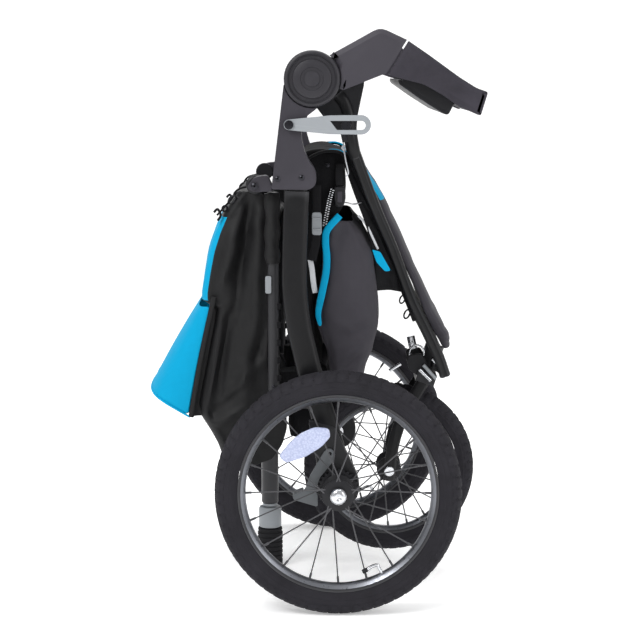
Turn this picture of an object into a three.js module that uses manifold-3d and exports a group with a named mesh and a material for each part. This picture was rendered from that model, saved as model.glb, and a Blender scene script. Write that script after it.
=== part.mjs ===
// Three-wheel jogging stroller, folded for storage, as separate named pieces.
// Millimetres, +Z up, +X towards the stroller's front, +Y towards its left side.
// While it is drawn, x = 0 is the rear axle and z = 0 the floor; the last lines centre it.
import * as THREE from "three";
import { mergeVertices } from "three/addons/utils/BufferGeometryUtils.js";
import Module from "manifold-3d";

const wasm = await Module();
wasm.setup();

// ---- driving dimensions ----
const GAP = 0.4; // clearance between touching pieces
const FIT = 0.3; // clearance of a turning bore about its pin
const HUB = [-43, 875]; // fold axis, x and z
const REAR_AXLE = [0, 203];
const FRONT_AXLE = [91, 185];
const CANOPY_AXIS = [-137, 702];
const BRAKE_PIVOT = [-14, 262];
const LATCH_PIVOT = [-80, 802];
const LATCH_PIN = [12, 801];
const WHEEL_Y = 280; // rear wheel plane, each side
const REAR = { radius: 203, bead: 165.5, rimInner: 151, halfWidth: 22 };
const FRONT = { radius: 152, bead: 122, rimInner: 110, halfWidth: 19 };
const STEER_LEAN = 0.314; // radians, top of the steering axis leans to +X in the folded state
const STEER_FOOT = [101, 185]; // where the steering axis passes the front axle's height
const LEG_Y = [224, 246];
// hub layers, from the outside inwards, as distances from the middle plane
const CAP_LAYER = [243, 257];
const HANDLE_LAYER = [227, 242.5];
const BRACKET_LAYER = [208.5, 226.5];
const FRONT_LAYER = [190, 208];
const KNUCKLE_R = 42;
const CAP_R = 45.5;
const CAP_RECESS_R = CAP_R + 1.5;
const PIN_R = 7;
const REAR_AXLE_R = 6;
const FRONT_AXLE_R = 5;
const CANOPY_PIN_R = 4;
const BRAKE_PIN_R = 3;
const LATCH_PIN_R = 5;
const LATCH_SCREW_R = 4;
const STEERER_R = 9;
const FOOT_R = 35; // round foot bracket about the rear axle
const SPOKES = 20;
const BORE_SPAN = [180, 270]; // distances from the middle plane, clear of every side plate
const STAND = { x: -122, postR: 15.5, ringR: 13, collarR: 20.5, ringZ: 112, collarZ: 73, foot: 118, top: 300 };
const RAIL = { x: -108, y: 198, radius: 9.5, foot: 358, top: 690 };

// ---- materials ----
function finish(color, roughness, metalness = 0) {
  return new THREE.MeshStandardMaterial({ color, roughness, metalness });
}
const charcoal = finish(0x3a393d, 0.55);
const satinBlack = finish(0x161619, 0.4, 0.3);
const gloveRubber = finish(0x2c2b2f, 0.8);
const tyreRubber = finish(0x242327, 0.85);
const rimMetal = finish(0x3c3d40, 0.35, 0.8);
const chromed = finish(0xd0d2d4, 0.15, 1);
const greyPlastic = finish(0x95999c, 0.5);
const blackFabric = finish(0x19191c, 0.9);
const tealFabric = finish(0x04a9ce, 0.85);
const reflectorPlastic = finish(0xdfe6f2, 0.2);

// ---- shape helpers ----
const stroller = new THREE.Group();

function add(name, geometry, material) {
  const mesh = new THREE.Mesh(geometry, material);
  mesh.name = name;
  stroller.add(mesh);
}

function solid(geometry) {
  const bare = geometry.clone();
  bare.deleteAttribute("normal");
  bare.deleteAttribute("uv");
  const merged = mergeVertices(bare, 1e-4);
  const vertProperties = new Float32Array(merged.attributes.position.array);
  const triVerts = new Uint32Array(merged.index.array);
  return new wasm.Manifold(new wasm.Mesh({ numProp: 3, vertProperties, triVerts }));
}

function geometryOf(manifold) {
  const mesh = manifold.getMesh();
  const geometry = new THREE.BufferGeometry();
  geometry.setAttribute("position", new THREE.BufferAttribute(new Float32Array(mesh.vertProperties), 3));
  geometry.setIndex(new THREE.BufferAttribute(new Uint32Array(mesh.triVerts), 1));
  return geometry;
}

// A closed outline in x and z. A third number rounds that corner by so many millimetres.
function outline(points) {
  const shape = new THREE.Shape();
  const count = points.length;
  points.forEach(([x, z, round = 0], i) => {
    const before = points[(i + count - 1) % count];
    const after = points[(i + 1) % count];
    const towards = ([px, pz]) => {
      const share = Math.min(round / Math.hypot(px - x, pz - z), 0.45);
      return [x + (px - x) * share, z + (pz - z) * share];
    };
    const start = towards(before);
    if (i === 0) shape.moveTo(...start);
    else shape.lineTo(...start);
    if (round > 0) shape.quadraticCurveTo(x, z, ...towards(after));
  });
  shape.closePath();
  return shape;
}

// A plate with its outline in the x-z plane, between two y values.
function plate(shape, y0, y1, curveSegments = 3) {
  const low = Math.min(y0, y1);
  const depth = Math.abs(y1 - y0);
  const geometry = new THREE.ExtrudeGeometry(shape, { depth, bevelEnabled: false, curveSegments });
  geometry.rotateX(Math.PI / 2);
  geometry.translate(0, low + depth, 0);
  return geometry;
}

// A turned piece about an axis along Y: profile of [radius, y], closed on itself.
function turned([cx, cz], profile, segments) {
  const points = [...profile, profile[0]].map(([r, y]) => new THREE.Vector2(r, y));
  const geometry = new THREE.LatheGeometry(points, segments);
  geometry.translate(cx, 0, cz);
  const merged = solid(geometry);
  if (merged.volume() > 0) return geometryOf(merged);
  const flipped = new THREE.LatheGeometry(points.reverse(), segments);
  flipped.translate(cx, 0, cz);
  return geometryOf(solid(flipped));
}

function disc([cx, cz], radius, y0, y1, segments = 28) {
  const geometry = new THREE.CylinderGeometry(radius, radius, Math.abs(y1 - y0), segments);
  geometry.translate(cx, (y0 + y1) / 2, cz);
  return geometry;
}

// What a bore along Y takes out of the plates on one side.
function bore(at, radius, side, segments = 20) {
  return solid(disc(at, radius, BORE_SPAN[0] * side, BORE_SPAN[1] * side, segments));
}

// The same profile on the side it is asked for.
function onSide(profile, side) {
  return profile.map(([r, y]) => [r, y * side]);
}

// A post with its axis along Z.
function post([x, y], radius, z0, z1, segments = 20, topRadius = radius) {
  const geometry = new THREE.CylinderGeometry(topRadius, radius, z1 - z0, segments);
  geometry.rotateX(Math.PI / 2);
  geometry.translate(x, y, (z0 + z1) / 2);
  return geometry;
}

// A straight round bar between two points.
function bar(from, to, radius, segments = 12) {
  const a = new THREE.Vector3(...from);
  const b = new THREE.Vector3(...to);
  const geometry = new THREE.CylinderGeometry(radius, radius, a.distanceTo(b), segments);
  const turn = new THREE.Quaternion().setFromUnitVectors(
    new THREE.Vector3(0, 1, 0),
    b.clone().sub(a).normalize(),
  );
  geometry.applyQuaternion(turn);
  geometry.translate(...a.add(b).multiplyScalar(0.5).toArray());
  return geometry;
}

// A bent tube of oval section; across is its size along the path plane's normal.
function tube(points, across, inPlane, steps = 16, sides = 14) {
  const path = new THREE.CatmullRomCurve3(points.map((p) => new THREE.Vector3(...p)));
  const ring = [];
  for (let i = 0; i < sides; i++) {
    const angle = (2 * Math.PI * i) / sides;
    ring.push(new THREE.Vector2((across / 2) * Math.cos(angle), (inPlane / 2) * Math.sin(angle)));
  }
  return new THREE.ExtrudeGeometry(new THREE.Shape(ring), { steps, bevelEnabled: false, extrudePath: path });
}

// A thin closed shell over a surface: at(u, v) gives a point, u and v from 0 to 1.
function sheetSolid(at, across, along, offset) {
  const positions = [];
  const index = [];
  const shift = new THREE.Vector3(...offset);
  for (const side of [0, 1])
    for (let j = 0; j <= along; j++)
      for (let i = 0; i <= across; i++) {
        const point = new THREE.Vector3(...at(i / across, j / along)).addScaledVector(shift, side);
        positions.push(...point.toArray());
      }
  const layer = (across + 1) * (along + 1);
  const id = (side, i, j) => side * layer + j * (across + 1) + i;
  const quad = (a, b, c, d) => index.push(a, b, c, a, c, d);
  for (let j = 0; j < along; j++)
    for (let i = 0; i < across; i++) {
      quad(id(0, i, j), id(0, i + 1, j), id(0, i + 1, j + 1), id(0, i, j + 1));
      quad(id(1, i, j), id(1, i, j + 1), id(1, i + 1, j + 1), id(1, i + 1, j));
    }
  for (let i = 0; i < across; i++) {
    quad(id(0, i + 1, 0), id(0, i, 0), id(1, i, 0), id(1, i + 1, 0));
    quad(id(0, i, along), id(0, i + 1, along), id(1, i + 1, along), id(1, i, along));
  }
  for (let j = 0; j < along; j++) {
    quad(id(0, 0, j), id(0, 0, j + 1), id(1, 0, j + 1), id(1, 0, j));
    quad(id(0, across, j + 1), id(0, across, j), id(1, across, j), id(1, across, j + 1));
  }
  const geometry = new THREE.BufferGeometry();
  geometry.setAttribute("position", new THREE.Float32BufferAttribute(positions, 3));
  geometry.setIndex(index);
  if (solid(geometry).volume() < 0) {
    for (let k = 0; k < index.length; k += 3) [index[k], index[k + 1]] = [index[k + 1], index[k]];
    geometry.setIndex(index);
  }
  return geometry;
}

// A point on the steering axis, so far up from the front axle's height.
function steerPoint(distance) {
  const [x, z] = STEER_FOOT;
  return [x + Math.sin(STEER_LEAN) * distance, 0, z + Math.cos(STEER_LEAN) * distance];
}

const SIDES = [
  ["right", -1],
  ["left", 1],
];

// ---- rear frame ----
const LEG_PATH = [
  [-68, 694], [-71, 620], [-72, 540], [-66, 478], [-57, 436], [-46, 392], [-20, 306], [-7, 258], [-4, 246],
];
const LEG_WIDTH = 41;

function legBracket(side) {
  const [hx, hz] = HUB;
  const cover = outline([
    [-88, 872], [-94, 821], [-109, 698, 4], [-47, 697, 6], [-36, 706, 8], [-37, 728, 8], [-52, 749, 12],
    [-62, 784, 16], [-56, 812, 10], [-40, 824], [-14, 846], [hx, hz + 10],
  ]);
  const outer = 252 * side;
  return geometryOf(
    solid(plate(cover, 210 * side, outer))
      .subtract(solid(disc(HUB, CAP_RECESS_R, (BRACKET_LAYER[1] + GAP) * side, BORE_SPAN[1] * side)))
      .add(solid(disc(HUB, KNUCKLE_R, BRACKET_LAYER[0] * side, BRACKET_LAYER[1] * side)))
      .subtract(bore(HUB, PIN_R + FIT, side)),
  );
}

for (const [name, side] of SIDES) {
  const legY = ((LEG_Y[0] + LEG_Y[1]) / 2) * side;
  const legThick = LEG_Y[1] - LEG_Y[0];
  add(`rear_leg_${name}`, tube(LEG_PATH.map(([x, z]) => [x, legY, z]), legThick, LEG_WIDTH, 13), satinBlack);
  add(`leg_bracket_${name}`, legBracket(side), charcoal);
  const [capIn, capOut] = CAP_LAYER;
  const capProfile = [
    [0, capIn], [CAP_R, capIn], [CAP_R, capOut - 3], [CAP_R - 3.5, capOut], [37, capOut], [34, capOut - 3],
    [20, capOut], [0, capOut],
  ];
  add(`hub_cap_${name}`, turned(HUB, onSide(capProfile, side), 28), charcoal);
  const pinProfile = [[0, 184], [12, 184], [12, 189.4], [PIN_R, 189.4], [PIN_R, 242.4], [0, 242.4]];
  add(`fold_pin_${name}`, turned(HUB, onSide(pinProfile, side), 20), chromed);
  // the leg's foot bracket carries the wheel on a stub axle
  const foot = solid(disc(REAR_AXLE, FOOT_R, LEG_Y[0] * side, LEG_Y[1] * side))
    .subtract(bore(REAR_AXLE, REAR_AXLE_R + GAP, side, 16));
  add(`axle_bracket_${name}`, geometryOf(foot), satinBlack);
  const axleProfile = [
    [0, 218], [11, 218], [11, 223.5], [REAR_AXLE_R, 223.5], [REAR_AXLE_R, 304.5], [14, 304.5], [14, 311],
    [9, 315], [0, 316],
  ];
  add(`rear_axle_${name}`, turned(REAR_AXLE, onSide(axleProfile, side), 20), chromed);
  // seat rail: a round tube down from the bracket, behind the leg
  add(`seat_rail_${name}`, post([RAIL.x, RAIL.y * side], RAIL.radius, RAIL.foot, RAIL.top, 16), satinBlack);
  // canopy mount: an ear from the bracket's rear edge to the canopy hinge
  const ear = outline([
    [-150, 700, 6], [-137, 717, 8], [-116, 719, 4], [-107.5, 700], [-107.5, 693], [-140, 692, 6],
  ]);
  const besideBracket = outline([[-107, 740], [-60, 740], [-60, 680], [-110.2, 680]]);
  const mount = solid(plate(ear, 200 * side, 230 * side))
    .subtract(bore(CANOPY_AXIS, CANOPY_PIN_R + GAP, side, 14))
    .subtract(solid(plate(besideBracket, 209 * side, 254 * side)));
  add(`canopy_mount_${name}`, geometryOf(mount), charcoal);
}

const CROSS_PATH = [
  [-40, 222.6, 340], [-41, 210, 340], [-60, 180, 336], [-90, 130, 325], [-116, 60, 315], [-122, 0, 313],
];
const mirrored = CROSS_PATH.slice(0, -1).reverse().map(([x, y, z]) => [x, -y, z]);
add("rear_cross_tube", tube([...CROSS_PATH, ...mirrored], 25, 25, 22, 10), satinBlack);
add("stand_post", post([STAND.x, 0], STAND.postR, STAND.foot, STAND.top, 20), satinBlack);
add("stand_ring", post([STAND.x, 0], STAND.ringR, STAND.ringZ, STAND.foot - GAP, 20), greyPlastic);
add("stand_collar", post([STAND.x, 0], STAND.collarR, STAND.collarZ, STAND.ringZ - GAP, 24), greyPlastic);

function standFoot() {
  const ribs = 5;
  const ribPitch = 13;
  const ribR = 23;
  const top = STAND.collarZ - GAP;
  const profile = [[0, 0], [ribR - 1, 0]];
  for (let i = 0; i < ribs; i++) {
    const z = 4 + i * ribPitch;
    profile.push([ribR, z], [ribR, z + 8], [ribR - 2, z + 10.5]);
  }
  profile.push([ribR - 1, top], [0, top]);
  const points = [...profile, profile[0]].map(([r, z]) => new THREE.Vector2(r, z));
  const lathe = new THREE.LatheGeometry(points, 14);
  lathe.rotateX(Math.PI / 2);
  lathe.translate(STAND.x, 0, 0);
  return lathe;
}
add("stand_foot", standFoot(), gloveRubber);

const SEAT_BAR_Z = 640;
const SEAT_BAR_HALF = 188;
const seatBar = bar([RAIL.x, -SEAT_BAR_HALF, SEAT_BAR_Z], [RAIL.x, SEAT_BAR_HALF, SEAT_BAR_Z], 8, 12);
add("seat_cross_bar", seatBar, satinBlack);

// ---- front frame, folds forwards about the hubs ----
const FRONT_TUBE = [
  [23, 196, 763], [39, 178, 719], [62, 160, 659], [92, 134, 588], [125, 103, 501], [156, 75, 436],
  [176, 55, 392], [188, 42, 358],
];
for (const [name, side] of SIDES) {
  const [hx, hz] = HUB;
  const facet = outline([
    [hx, hz - 38], [-26, 815], [3, 786], [6, 772], [27, 772], [31, 816], [43, 874, 10], [20, 905, 14],
    [hx, hz + 38],
  ]);
  const knuckle = solid(disc(HUB, KNUCKLE_R, FRONT_LAYER[0] * side, FRONT_LAYER[1] * side));
  let body = solid(plate(facet, FRONT_LAYER[0] * side, FRONT_LAYER[1] * side))
    .add(knuckle)
    .subtract(bore(HUB, PIN_R + FIT, side));
  if (side < 0) body = body.subtract(bore(LATCH_PIN, LATCH_PIN_R + FIT, side, 16));
  add(`front_bracket_${name}`, geometryOf(body), charcoal);
  add(`front_tube_${name}`, tube(FRONT_TUBE.map(([x, y, z]) => [x, y * side, z]), 20, 20, 9, 12), satinBlack);
}
const latchPinProfile = [
  [0, 186], [7, 186], [7, 189.4], [LATCH_PIN_R, 189.4], [LATCH_PIN_R, 252], [8, 252], [8, 257], [0, 257],
];
add("latch_pin", turned(LATCH_PIN, onSide(latchPinProfile, -1), 16), chromed);

const HEAD_FOOT = 186; // distances along the steering axis
const HEAD_TOP = 232;
const HEAD_ARM_HALF = 31.5;
const headTube = solid(bar(steerPoint(HEAD_FOOT), steerPoint(HEAD_TOP), 17, 20));
const headArm = outline([[166, 367], [178, 359], [187, 352], [192, 360], [186, 384], [170, 392]]);
const steererHole = solid(bar(steerPoint(HEAD_FOOT - 16), steerPoint(HEAD_TOP + 18), STEERER_R + 0.5, 16));
const headLug = headTube.add(solid(plate(headArm, -HEAD_ARM_HALF, HEAD_ARM_HALF))).subtract(steererHole);
add("head_lug", geometryOf(headLug), satinBlack);

function legRest() {
  const topZ = 740;
  const footZ = 390;
  const side = outline([
    [38, 735, 6], [80, 668], [103, 616], [150, 512], [174, 462], [192, 432, 8], [197, 404, 3], [193, 402, 2],
    [178, 432], [158, 466], [134, 512], [86, 616], [64, 668], [26, 732, 4],
  ]);
  const lowerWidth = 34;
  const upperWidth = 166;
  const corners = [[-upperWidth, topZ], [-lowerWidth, footZ], [lowerWidth, footZ], [upperWidth, topZ]];
  const taper = new THREE.Shape(corners.map(([x, z]) => new THREE.Vector2(x, z)));
  const prism = new THREE.ExtrudeGeometry(taper, { depth: 300, bevelEnabled: false });
  prism.rotateX(Math.PI / 2);
  prism.rotateZ(Math.PI / 2);
  return geometryOf(solid(plate(side, -190, 190)).intersect(solid(prism)));
}
add("leg_rest", legRest(), blackFabric);

// ---- front fork and wheel ----
const CROWN_AT = 166;
const CROWN_TOP = 185;
const BLADE_Y = 36;
function fork() {
  const [cx, , cz] = steerPoint((CROWN_AT + CROWN_TOP) / 2);
  const crown = new THREE.BoxGeometry(34, 84, CROWN_TOP - CROWN_AT);
  crown.rotateY(STEER_LEAN);
  crown.translate(cx, 0, cz);
  const steerer = bar(steerPoint(CROWN_AT + 4), steerPoint(HEAD_TOP + 3), STEERER_R, 16);
  let body = solid(crown).add(solid(steerer));
  for (const side of [-1, 1]) {
    const y = BLADE_Y * side;
    const blade = [[91, 168], [98, 230], [116, 286], [140, 328], [cx, cz]].map(([x, z]) => [x, y, z]);
    body = body.add(solid(tube(blade, 9, 22, 10, 10)));
    body = body.subtract(solid(disc(FRONT_AXLE, FRONT_AXLE_R + GAP, y - 8, y + 8, 14)));
  }
  return geometryOf(body);
}
add("front_fork", fork(), satinBlack);
const frontAxleProfile = [
  [0, -47], [9, -47], [9, -41], [FRONT_AXLE_R, -41], [FRONT_AXLE_R, 41], [9, 41], [9, 47], [0, 47],
];
add("front_axle", turned(FRONT_AXLE, frontAxleProfile, 18), chromed);
add("swivel_lock_knob", bar([134, 0, 398], [129, 0, 421], 7.5, 16), chromed);

function tyre({ radius, bead, halfWidth }, centre, y, segments) {
  const w = halfWidth;
  const profile = [
    [bead, -w * 0.62], [bead + 12, -w], [radius - 12, -w], [radius - 3, -w * 0.68], [radius, -w * 0.25],
    [radius, w * 0.25], [radius - 3, w * 0.68], [radius - 12, w], [bead + 12, w], [bead, w * 0.62],
  ];
  return turned(centre, profile.map(([r, dy]) => [r, y + dy]), segments);
}

function rim({ bead, rimInner, halfWidth }, centre, y, segments) {
  const w = halfWidth * 0.66;
  const top = bead - GAP;
  const profile = [
    [top, -w], [top - 7, -w], [rimInner, -w * 0.5], [rimInner, w * 0.5], [top - 7, w], [top, w],
  ];
  return turned(centre, profile.map(([r, dy]) => [r, y + dy]), segments);
}

// Flanged hub with its straight spokes, alternately on each flange, pulled sideways like a laced wheel.
function spokedHub(centre, y, { shell, boreR, flange, halfLength, reach, lean }) {
  const [cx, cz] = centre;
  const half = [[boreR, -halfLength], [flange, -halfLength], [flange, 4 - halfLength], [shell, 6 - halfLength]];
  const mirror = half.map(([r, dy]) => [r, -dy]).reverse();
  const profile = [...half, ...mirror].map(([r, dy]) => [r, y + dy]);
  const root = flange - 3;
  let hub = solid(turned(centre, profile, 14));
  for (let i = 0; i < SPOKES; i++) {
    const end = (2 * Math.PI * i) / SPOKES;
    const outer = i % 2 ? 1 : -1;
    const start = end + (i % 4 < 2 ? lean : -lean);
    const from = [cx + root * Math.cos(start), y + outer * (halfLength - 2), cz + root * Math.sin(start)];
    const to = [cx + reach * Math.cos(end), y + outer * 1.5, cz + reach * Math.sin(end)];
    hub = hub.add(solid(bar(from, to, 1.4, 3)));
  }
  return geometryOf(hub);
}

add("front_tyre", tyre(FRONT, FRONT_AXLE, 0, 32), tyreRubber);
add("front_rim", rim(FRONT, FRONT_AXLE, 0, 32), rimMetal);
const frontHub = {
  shell: 12,
  boreR: FRONT_AXLE_R + FIT,
  flange: 22,
  halfLength: 27,
  reach: FRONT.rimInner - 1,
  lean: 0.5,
};
add("front_hub_spokes", spokedHub(FRONT_AXLE, 0, frontHub), satinBlack);

const rearHub = {
  shell: 15,
  boreR: REAR_AXLE_R + FIT,
  flange: 26,
  halfLength: 22,
  reach: REAR.rimInner - 1,
  lean: 0.45,
};
for (const [name, side] of SIDES) {
  const y = WHEEL_Y * side;
  add(`rear_tyre_${name}`, tyre(REAR, REAR_AXLE, y, 40), tyreRubber);
  add(`rear_rim_${name}`, rim(REAR, REAR_AXLE, y, 40), rimMetal);
  add(`rear_hub_spokes_${name}`, spokedHub(REAR_AXLE, y, rearHub), satinBlack);
  const ringProfile = [[16, 254.5], [34, 254.5], [34, 257.4], [16, 257.4]];
  add(`brake_ring_${name}`, turned(REAR_AXLE, onSide(ringProfile, side), 24), satinBlack);
  const lens = outline([
    [-97, 268, 4], [-80, 290, 10], [-62, 306, 10], [-39, 316, 6], [-15, 314, 6], [-13, 300, 4], [-26, 284, 8],
    [-54, 266, 8], [-86, 256, 6],
  ]);
  add(`spoke_reflector_${name}`, plate(lens, 294 * side, 299 * side), reflectorPlastic);
  // parking brake lever and its pedal, beside the leg's foot
  const arm = outline([
    [-23, 266, 6], [-14, 272, 6], [-4, 262, 6], [-8, 250], [-30, 222], [-38, 200], [-34, 192], [-34, 172, 4],
    [-74, 184, 4], [-76, 192, 3], [-56, 200, 4], [-46, 226],
  ]);
  const pedal = outline([[-56, 179, 2], [-74, 184, 3], [-76, 192, 3], [-58, 199, 3]]);
  const lever = solid(plate(arm, 247.4 * side, 252 * side))
    .add(solid(plate(pedal, 222 * side, 252 * side)))
    .subtract(bore(BRAKE_PIVOT, BRAKE_PIN_R + GAP, side, 12));
  add(`brake_lever_${name}`, geometryOf(lever), greyPlastic);
}

// ---- handle, folds up and back about the hubs ----
const ARM = [
  [-38, 875], [-14, 913], [66, 957, 12], [109, 937], [76.5, 884, 3], [43, 872, 6], [7, 857],
];
const GRIP = [
  [112, 935], [143, 914], [193, 878, 10], [222, 860, 6], [240, 854, 4], [228, 816, 4], [193, 831, 8],
  [169, 848, 6], [138, 866, 10], [97, 876, 6], [79.6, 882.4],
];
const ARM_ROOT = [[-20, 868], [-10, 903], [30, 925], [30, 872]];
const HANDLE_Y = [224, 250];
for (const [name, side] of SIDES) {
  const layer = HANDLE_LAYER.map((y) => y * side);
  const arm = solid(plate(outline(ARM), HANDLE_Y[0] * side, HANDLE_Y[1] * side))
    .subtract(bore(HUB, CAP_RECESS_R, side, 28))
    .add(solid(disc(HUB, KNUCKLE_R, ...layer)))
    .add(solid(plate(outline(ARM_ROOT), ...layer)))
    .subtract(bore(HUB, PIN_R + FIT, side));
  add(`handle_arm_${name}`, geometryOf(arm), charcoal);
}
const BAR = [[205, 864, 8], [224, 856, 6], [238, 851, 4], [228, 818, 4], [206, 828, 8]];
const GRIP_INNER = 222;
const grips = solid(plate(outline(BAR), -GRIP_INNER - 4, GRIP_INNER + 4))
  .add(solid(plate(outline(GRIP), -HANDLE_Y[1], -GRIP_INNER)))
  .add(solid(plate(outline(GRIP), GRIP_INNER, HANDLE_Y[1])));
add("handle_grip", geometryOf(grips), gloveRubber);
// a shallow tray-like brace below the grips joins them across
const brace = outline([
  [96, 874], [97, 867, 4], [131, 843], [159, 825], [171, 818, 4], [178, 817, 4], [188, 836], [183, 838],
  [176, 824, 3], [170, 825, 3], [161, 831], [134, 849], [103, 869, 3], [101, 874],
]);
add("handle_brace", plate(brace, GAP - GRIP_INNER, GRIP_INNER - GAP), satinBlack);

// ---- fold latch on the right side ----
const LINK_SMALL_R = 8.5;
const LINK_LARGE_R = 15.5;
const LINK_END_X = 36;
const LINK_WAIST_X = -14; // where the taper meets the parallel stretch
const LINK_LAYER = [258.5, 262.5];
const SLOT_R = 7.3;
const QUARTER = Math.PI / 2;
const TAPER = 0.1;
const [pivotX, pivotZ] = LATCH_PIVOT;
const link = new THREE.Shape();
link.absarc(LINK_END_X, pivotZ, LINK_LARGE_R, -QUARTER, QUARTER, false);
link.lineTo(LINK_WAIST_X, pivotZ + LINK_LARGE_R - 0.5);
link.absarc(pivotX, pivotZ, LINK_SMALL_R, QUARTER + TAPER, -QUARTER - TAPER, false);
link.lineTo(LINK_WAIST_X, pivotZ - LINK_LARGE_R + 0.5);
const slot = new THREE.Shape();
slot.moveTo(LINK_WAIST_X, LATCH_PIN[1] + SLOT_R);
slot.lineTo(-3, LATCH_PIN[1] - SLOT_R);
slot.absarc(LINK_END_X, LATCH_PIN[1], SLOT_R, -QUARTER, QUARTER, false);
const linkBody = solid(plate(link, -LINK_LAYER[0], -LINK_LAYER[1], 8))
  .subtract(solid(plate(slot, -BORE_SPAN[0], -BORE_SPAN[1], 6)))
  .subtract(bore(LATCH_PIVOT, LATCH_SCREW_R + GAP, -1, 16));
add("latch_link", geometryOf(linkBody), greyPlastic);
const screwProfile = [
  [0, 252.4], [LATCH_SCREW_R, 252.4], [LATCH_SCREW_R, 263], [7.5, 263], [7.5, 266], [0, 267],
];
add("latch_screw", turned(LATCH_PIVOT, onSide(screwProfile, -1), 16), chromed);

// ---- canopy, folded back against the rear ----
for (const [name, side] of SIDES) {
  const profile = [
    [0, 189], [16, 189], [16, 197], [12, 199.6], [CANOPY_PIN_R, 199.6], [CANOPY_PIN_R, 234], [0, 234],
  ];
  add(`canopy_disc_${name}`, turned(CANOPY_AXIS, onSide(profile, side), 24), charcoal);
}
const hoodOutside = outline([
  [-122, 686, 8], [-165, 692, 14], [-205, 658, 12], [-229, 585], [-237, 514, 4], [-226, 502], [-207, 498],
  [-243, 318, 4], [-216, 300], [-200, 262, 8], [-165, 326, 10], [-126, 352, 6], [-120, 510],
]);
const hoodInside = outline([
  [-90, 674], [-160, 678, 10], [-194, 650, 8], [-216, 582], [-222, 524], [-198, 486], [-230, 332], [-202, 306],
  [-168, 340], [-130, 366], [-90, 366],
]);
const HOOD_HALF = 186;
const HOOD_WALL = 7;
const hood = solid(plate(hoodOutside, -HOOD_HALF, HOOD_HALF))
  .subtract(solid(plate(hoodInside, HOOD_WALL - HOOD_HALF, HOOD_HALF - HOOD_WALL)));
add("canopy_hood", geometryOf(hood), blackFabric);

// The visor is a band bent to a squared-off arc, wider at its free edge.
const VISOR_SQUARENESS = 2.6;
function visorPoint(u, v) {
  const across = Math.sin((u - 0.5) * Math.PI);
  const bulge = Math.max(0, 1 - Math.abs(across) ** VISOR_SQUARENESS) ** (1 / VISOR_SQUARENESS);
  const top = [-215 - 24 * bulge, 496];
  const bottom = [-252 - 72 * bulge, 311 + 42 * bulge];
  const [x, z] = top.map((value, i) => value + (bottom[i] - value) * v);
  return [x, HOOD_HALF * across, z];
}
add("canopy_visor", sheetSolid(visorPoint, 16, 3, [5, 0, -1]), tealFabric);

// ---- seat and basket ----
const cushion = outline([
  [-78, 742, 14], [-58, 770, 14], [-20, 773, 12], [8, 764, 10], [12, 700], [6, 660, 8], [-40, 640, 10],
  [-48, 560], [-50, 440, 12], [-70, 425, 12], [-84, 445, 10], [-86, 600],
]);
const CUSHION_HALF = 180;
add("seat_cushion", plate(cushion, -CUSHION_HALF, CUSHION_HALF), blackFabric);

const BASKET_HALF = 183;
const BASKET_WALL = 6;
const basketOuter = outline([
  [-4, 645, 8], [-22, 627, 8], [-25, 580], [-31, 524], [-38, 486, 8], [-26, 439], [-16, 400], [-6, 356, 12],
  [34, 356, 12], [57, 426], [67, 480, 10], [57, 586], [24, 640, 8],
]);
const basketInner = outline([
  [-8, 700], [-16, 620], [-19, 580], [-25, 524], [-32, 487, 6], [-20, 440], [-10, 402], [-2, 362, 8],
  [30, 362, 8], [51, 427], [61, 480, 8], [51, 584], [26, 624], [26, 700],
]);
const basket = solid(plate(basketOuter, -BASKET_HALF, BASKET_HALF))
  .subtract(solid(plate(basketInner, BASKET_WALL - BASKET_HALF, BASKET_HALF - BASKET_WALL)));
add("storage_basket", geometryOf(basket), blackFabric);

// ---- origin at the middle of the underside ----
const box = new THREE.Box3().setFromObject(stroller);
const centre = box.getCenter(new THREE.Vector3());
stroller.position.set(-centre.x, -centre.y, -box.min.z);

export default stroller;
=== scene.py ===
"""A folded jogging stroller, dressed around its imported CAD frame.

Lengths are millimetres measured from the floor below the rear axle, turned into metres by place().
"""
import math

import bmesh
import bpy
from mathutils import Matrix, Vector, noise


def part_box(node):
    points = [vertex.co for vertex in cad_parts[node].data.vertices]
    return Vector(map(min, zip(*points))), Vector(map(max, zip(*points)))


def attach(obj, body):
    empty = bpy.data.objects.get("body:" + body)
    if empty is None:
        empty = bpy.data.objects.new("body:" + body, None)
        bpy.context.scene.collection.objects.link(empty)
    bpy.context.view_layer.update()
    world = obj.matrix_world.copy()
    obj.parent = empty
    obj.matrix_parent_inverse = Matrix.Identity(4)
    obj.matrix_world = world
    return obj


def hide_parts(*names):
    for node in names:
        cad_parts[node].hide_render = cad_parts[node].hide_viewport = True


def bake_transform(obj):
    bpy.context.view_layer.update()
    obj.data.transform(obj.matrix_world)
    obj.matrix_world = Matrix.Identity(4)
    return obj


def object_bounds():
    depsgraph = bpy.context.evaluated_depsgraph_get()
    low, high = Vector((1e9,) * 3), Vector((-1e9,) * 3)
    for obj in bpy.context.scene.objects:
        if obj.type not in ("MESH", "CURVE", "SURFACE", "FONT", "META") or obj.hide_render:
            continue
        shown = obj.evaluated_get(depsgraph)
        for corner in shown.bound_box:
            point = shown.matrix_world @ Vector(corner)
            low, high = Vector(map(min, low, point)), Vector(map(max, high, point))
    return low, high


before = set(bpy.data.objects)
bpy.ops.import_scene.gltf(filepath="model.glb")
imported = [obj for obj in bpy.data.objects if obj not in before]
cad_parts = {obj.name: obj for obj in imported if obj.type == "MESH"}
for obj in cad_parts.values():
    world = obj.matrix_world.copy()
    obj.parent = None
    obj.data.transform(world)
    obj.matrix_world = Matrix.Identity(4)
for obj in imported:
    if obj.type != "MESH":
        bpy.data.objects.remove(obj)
CAD_LOW, CAD_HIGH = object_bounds()

MM = 0.001
SIDES = (("right", -1), ("left", 1))
REAR, FRONT, CANOPY = "rear_frame", "front_frame", "canopy"


def middle(node):
    low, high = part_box(node)
    return (Vector(low) + Vector(high)) / 2


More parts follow.
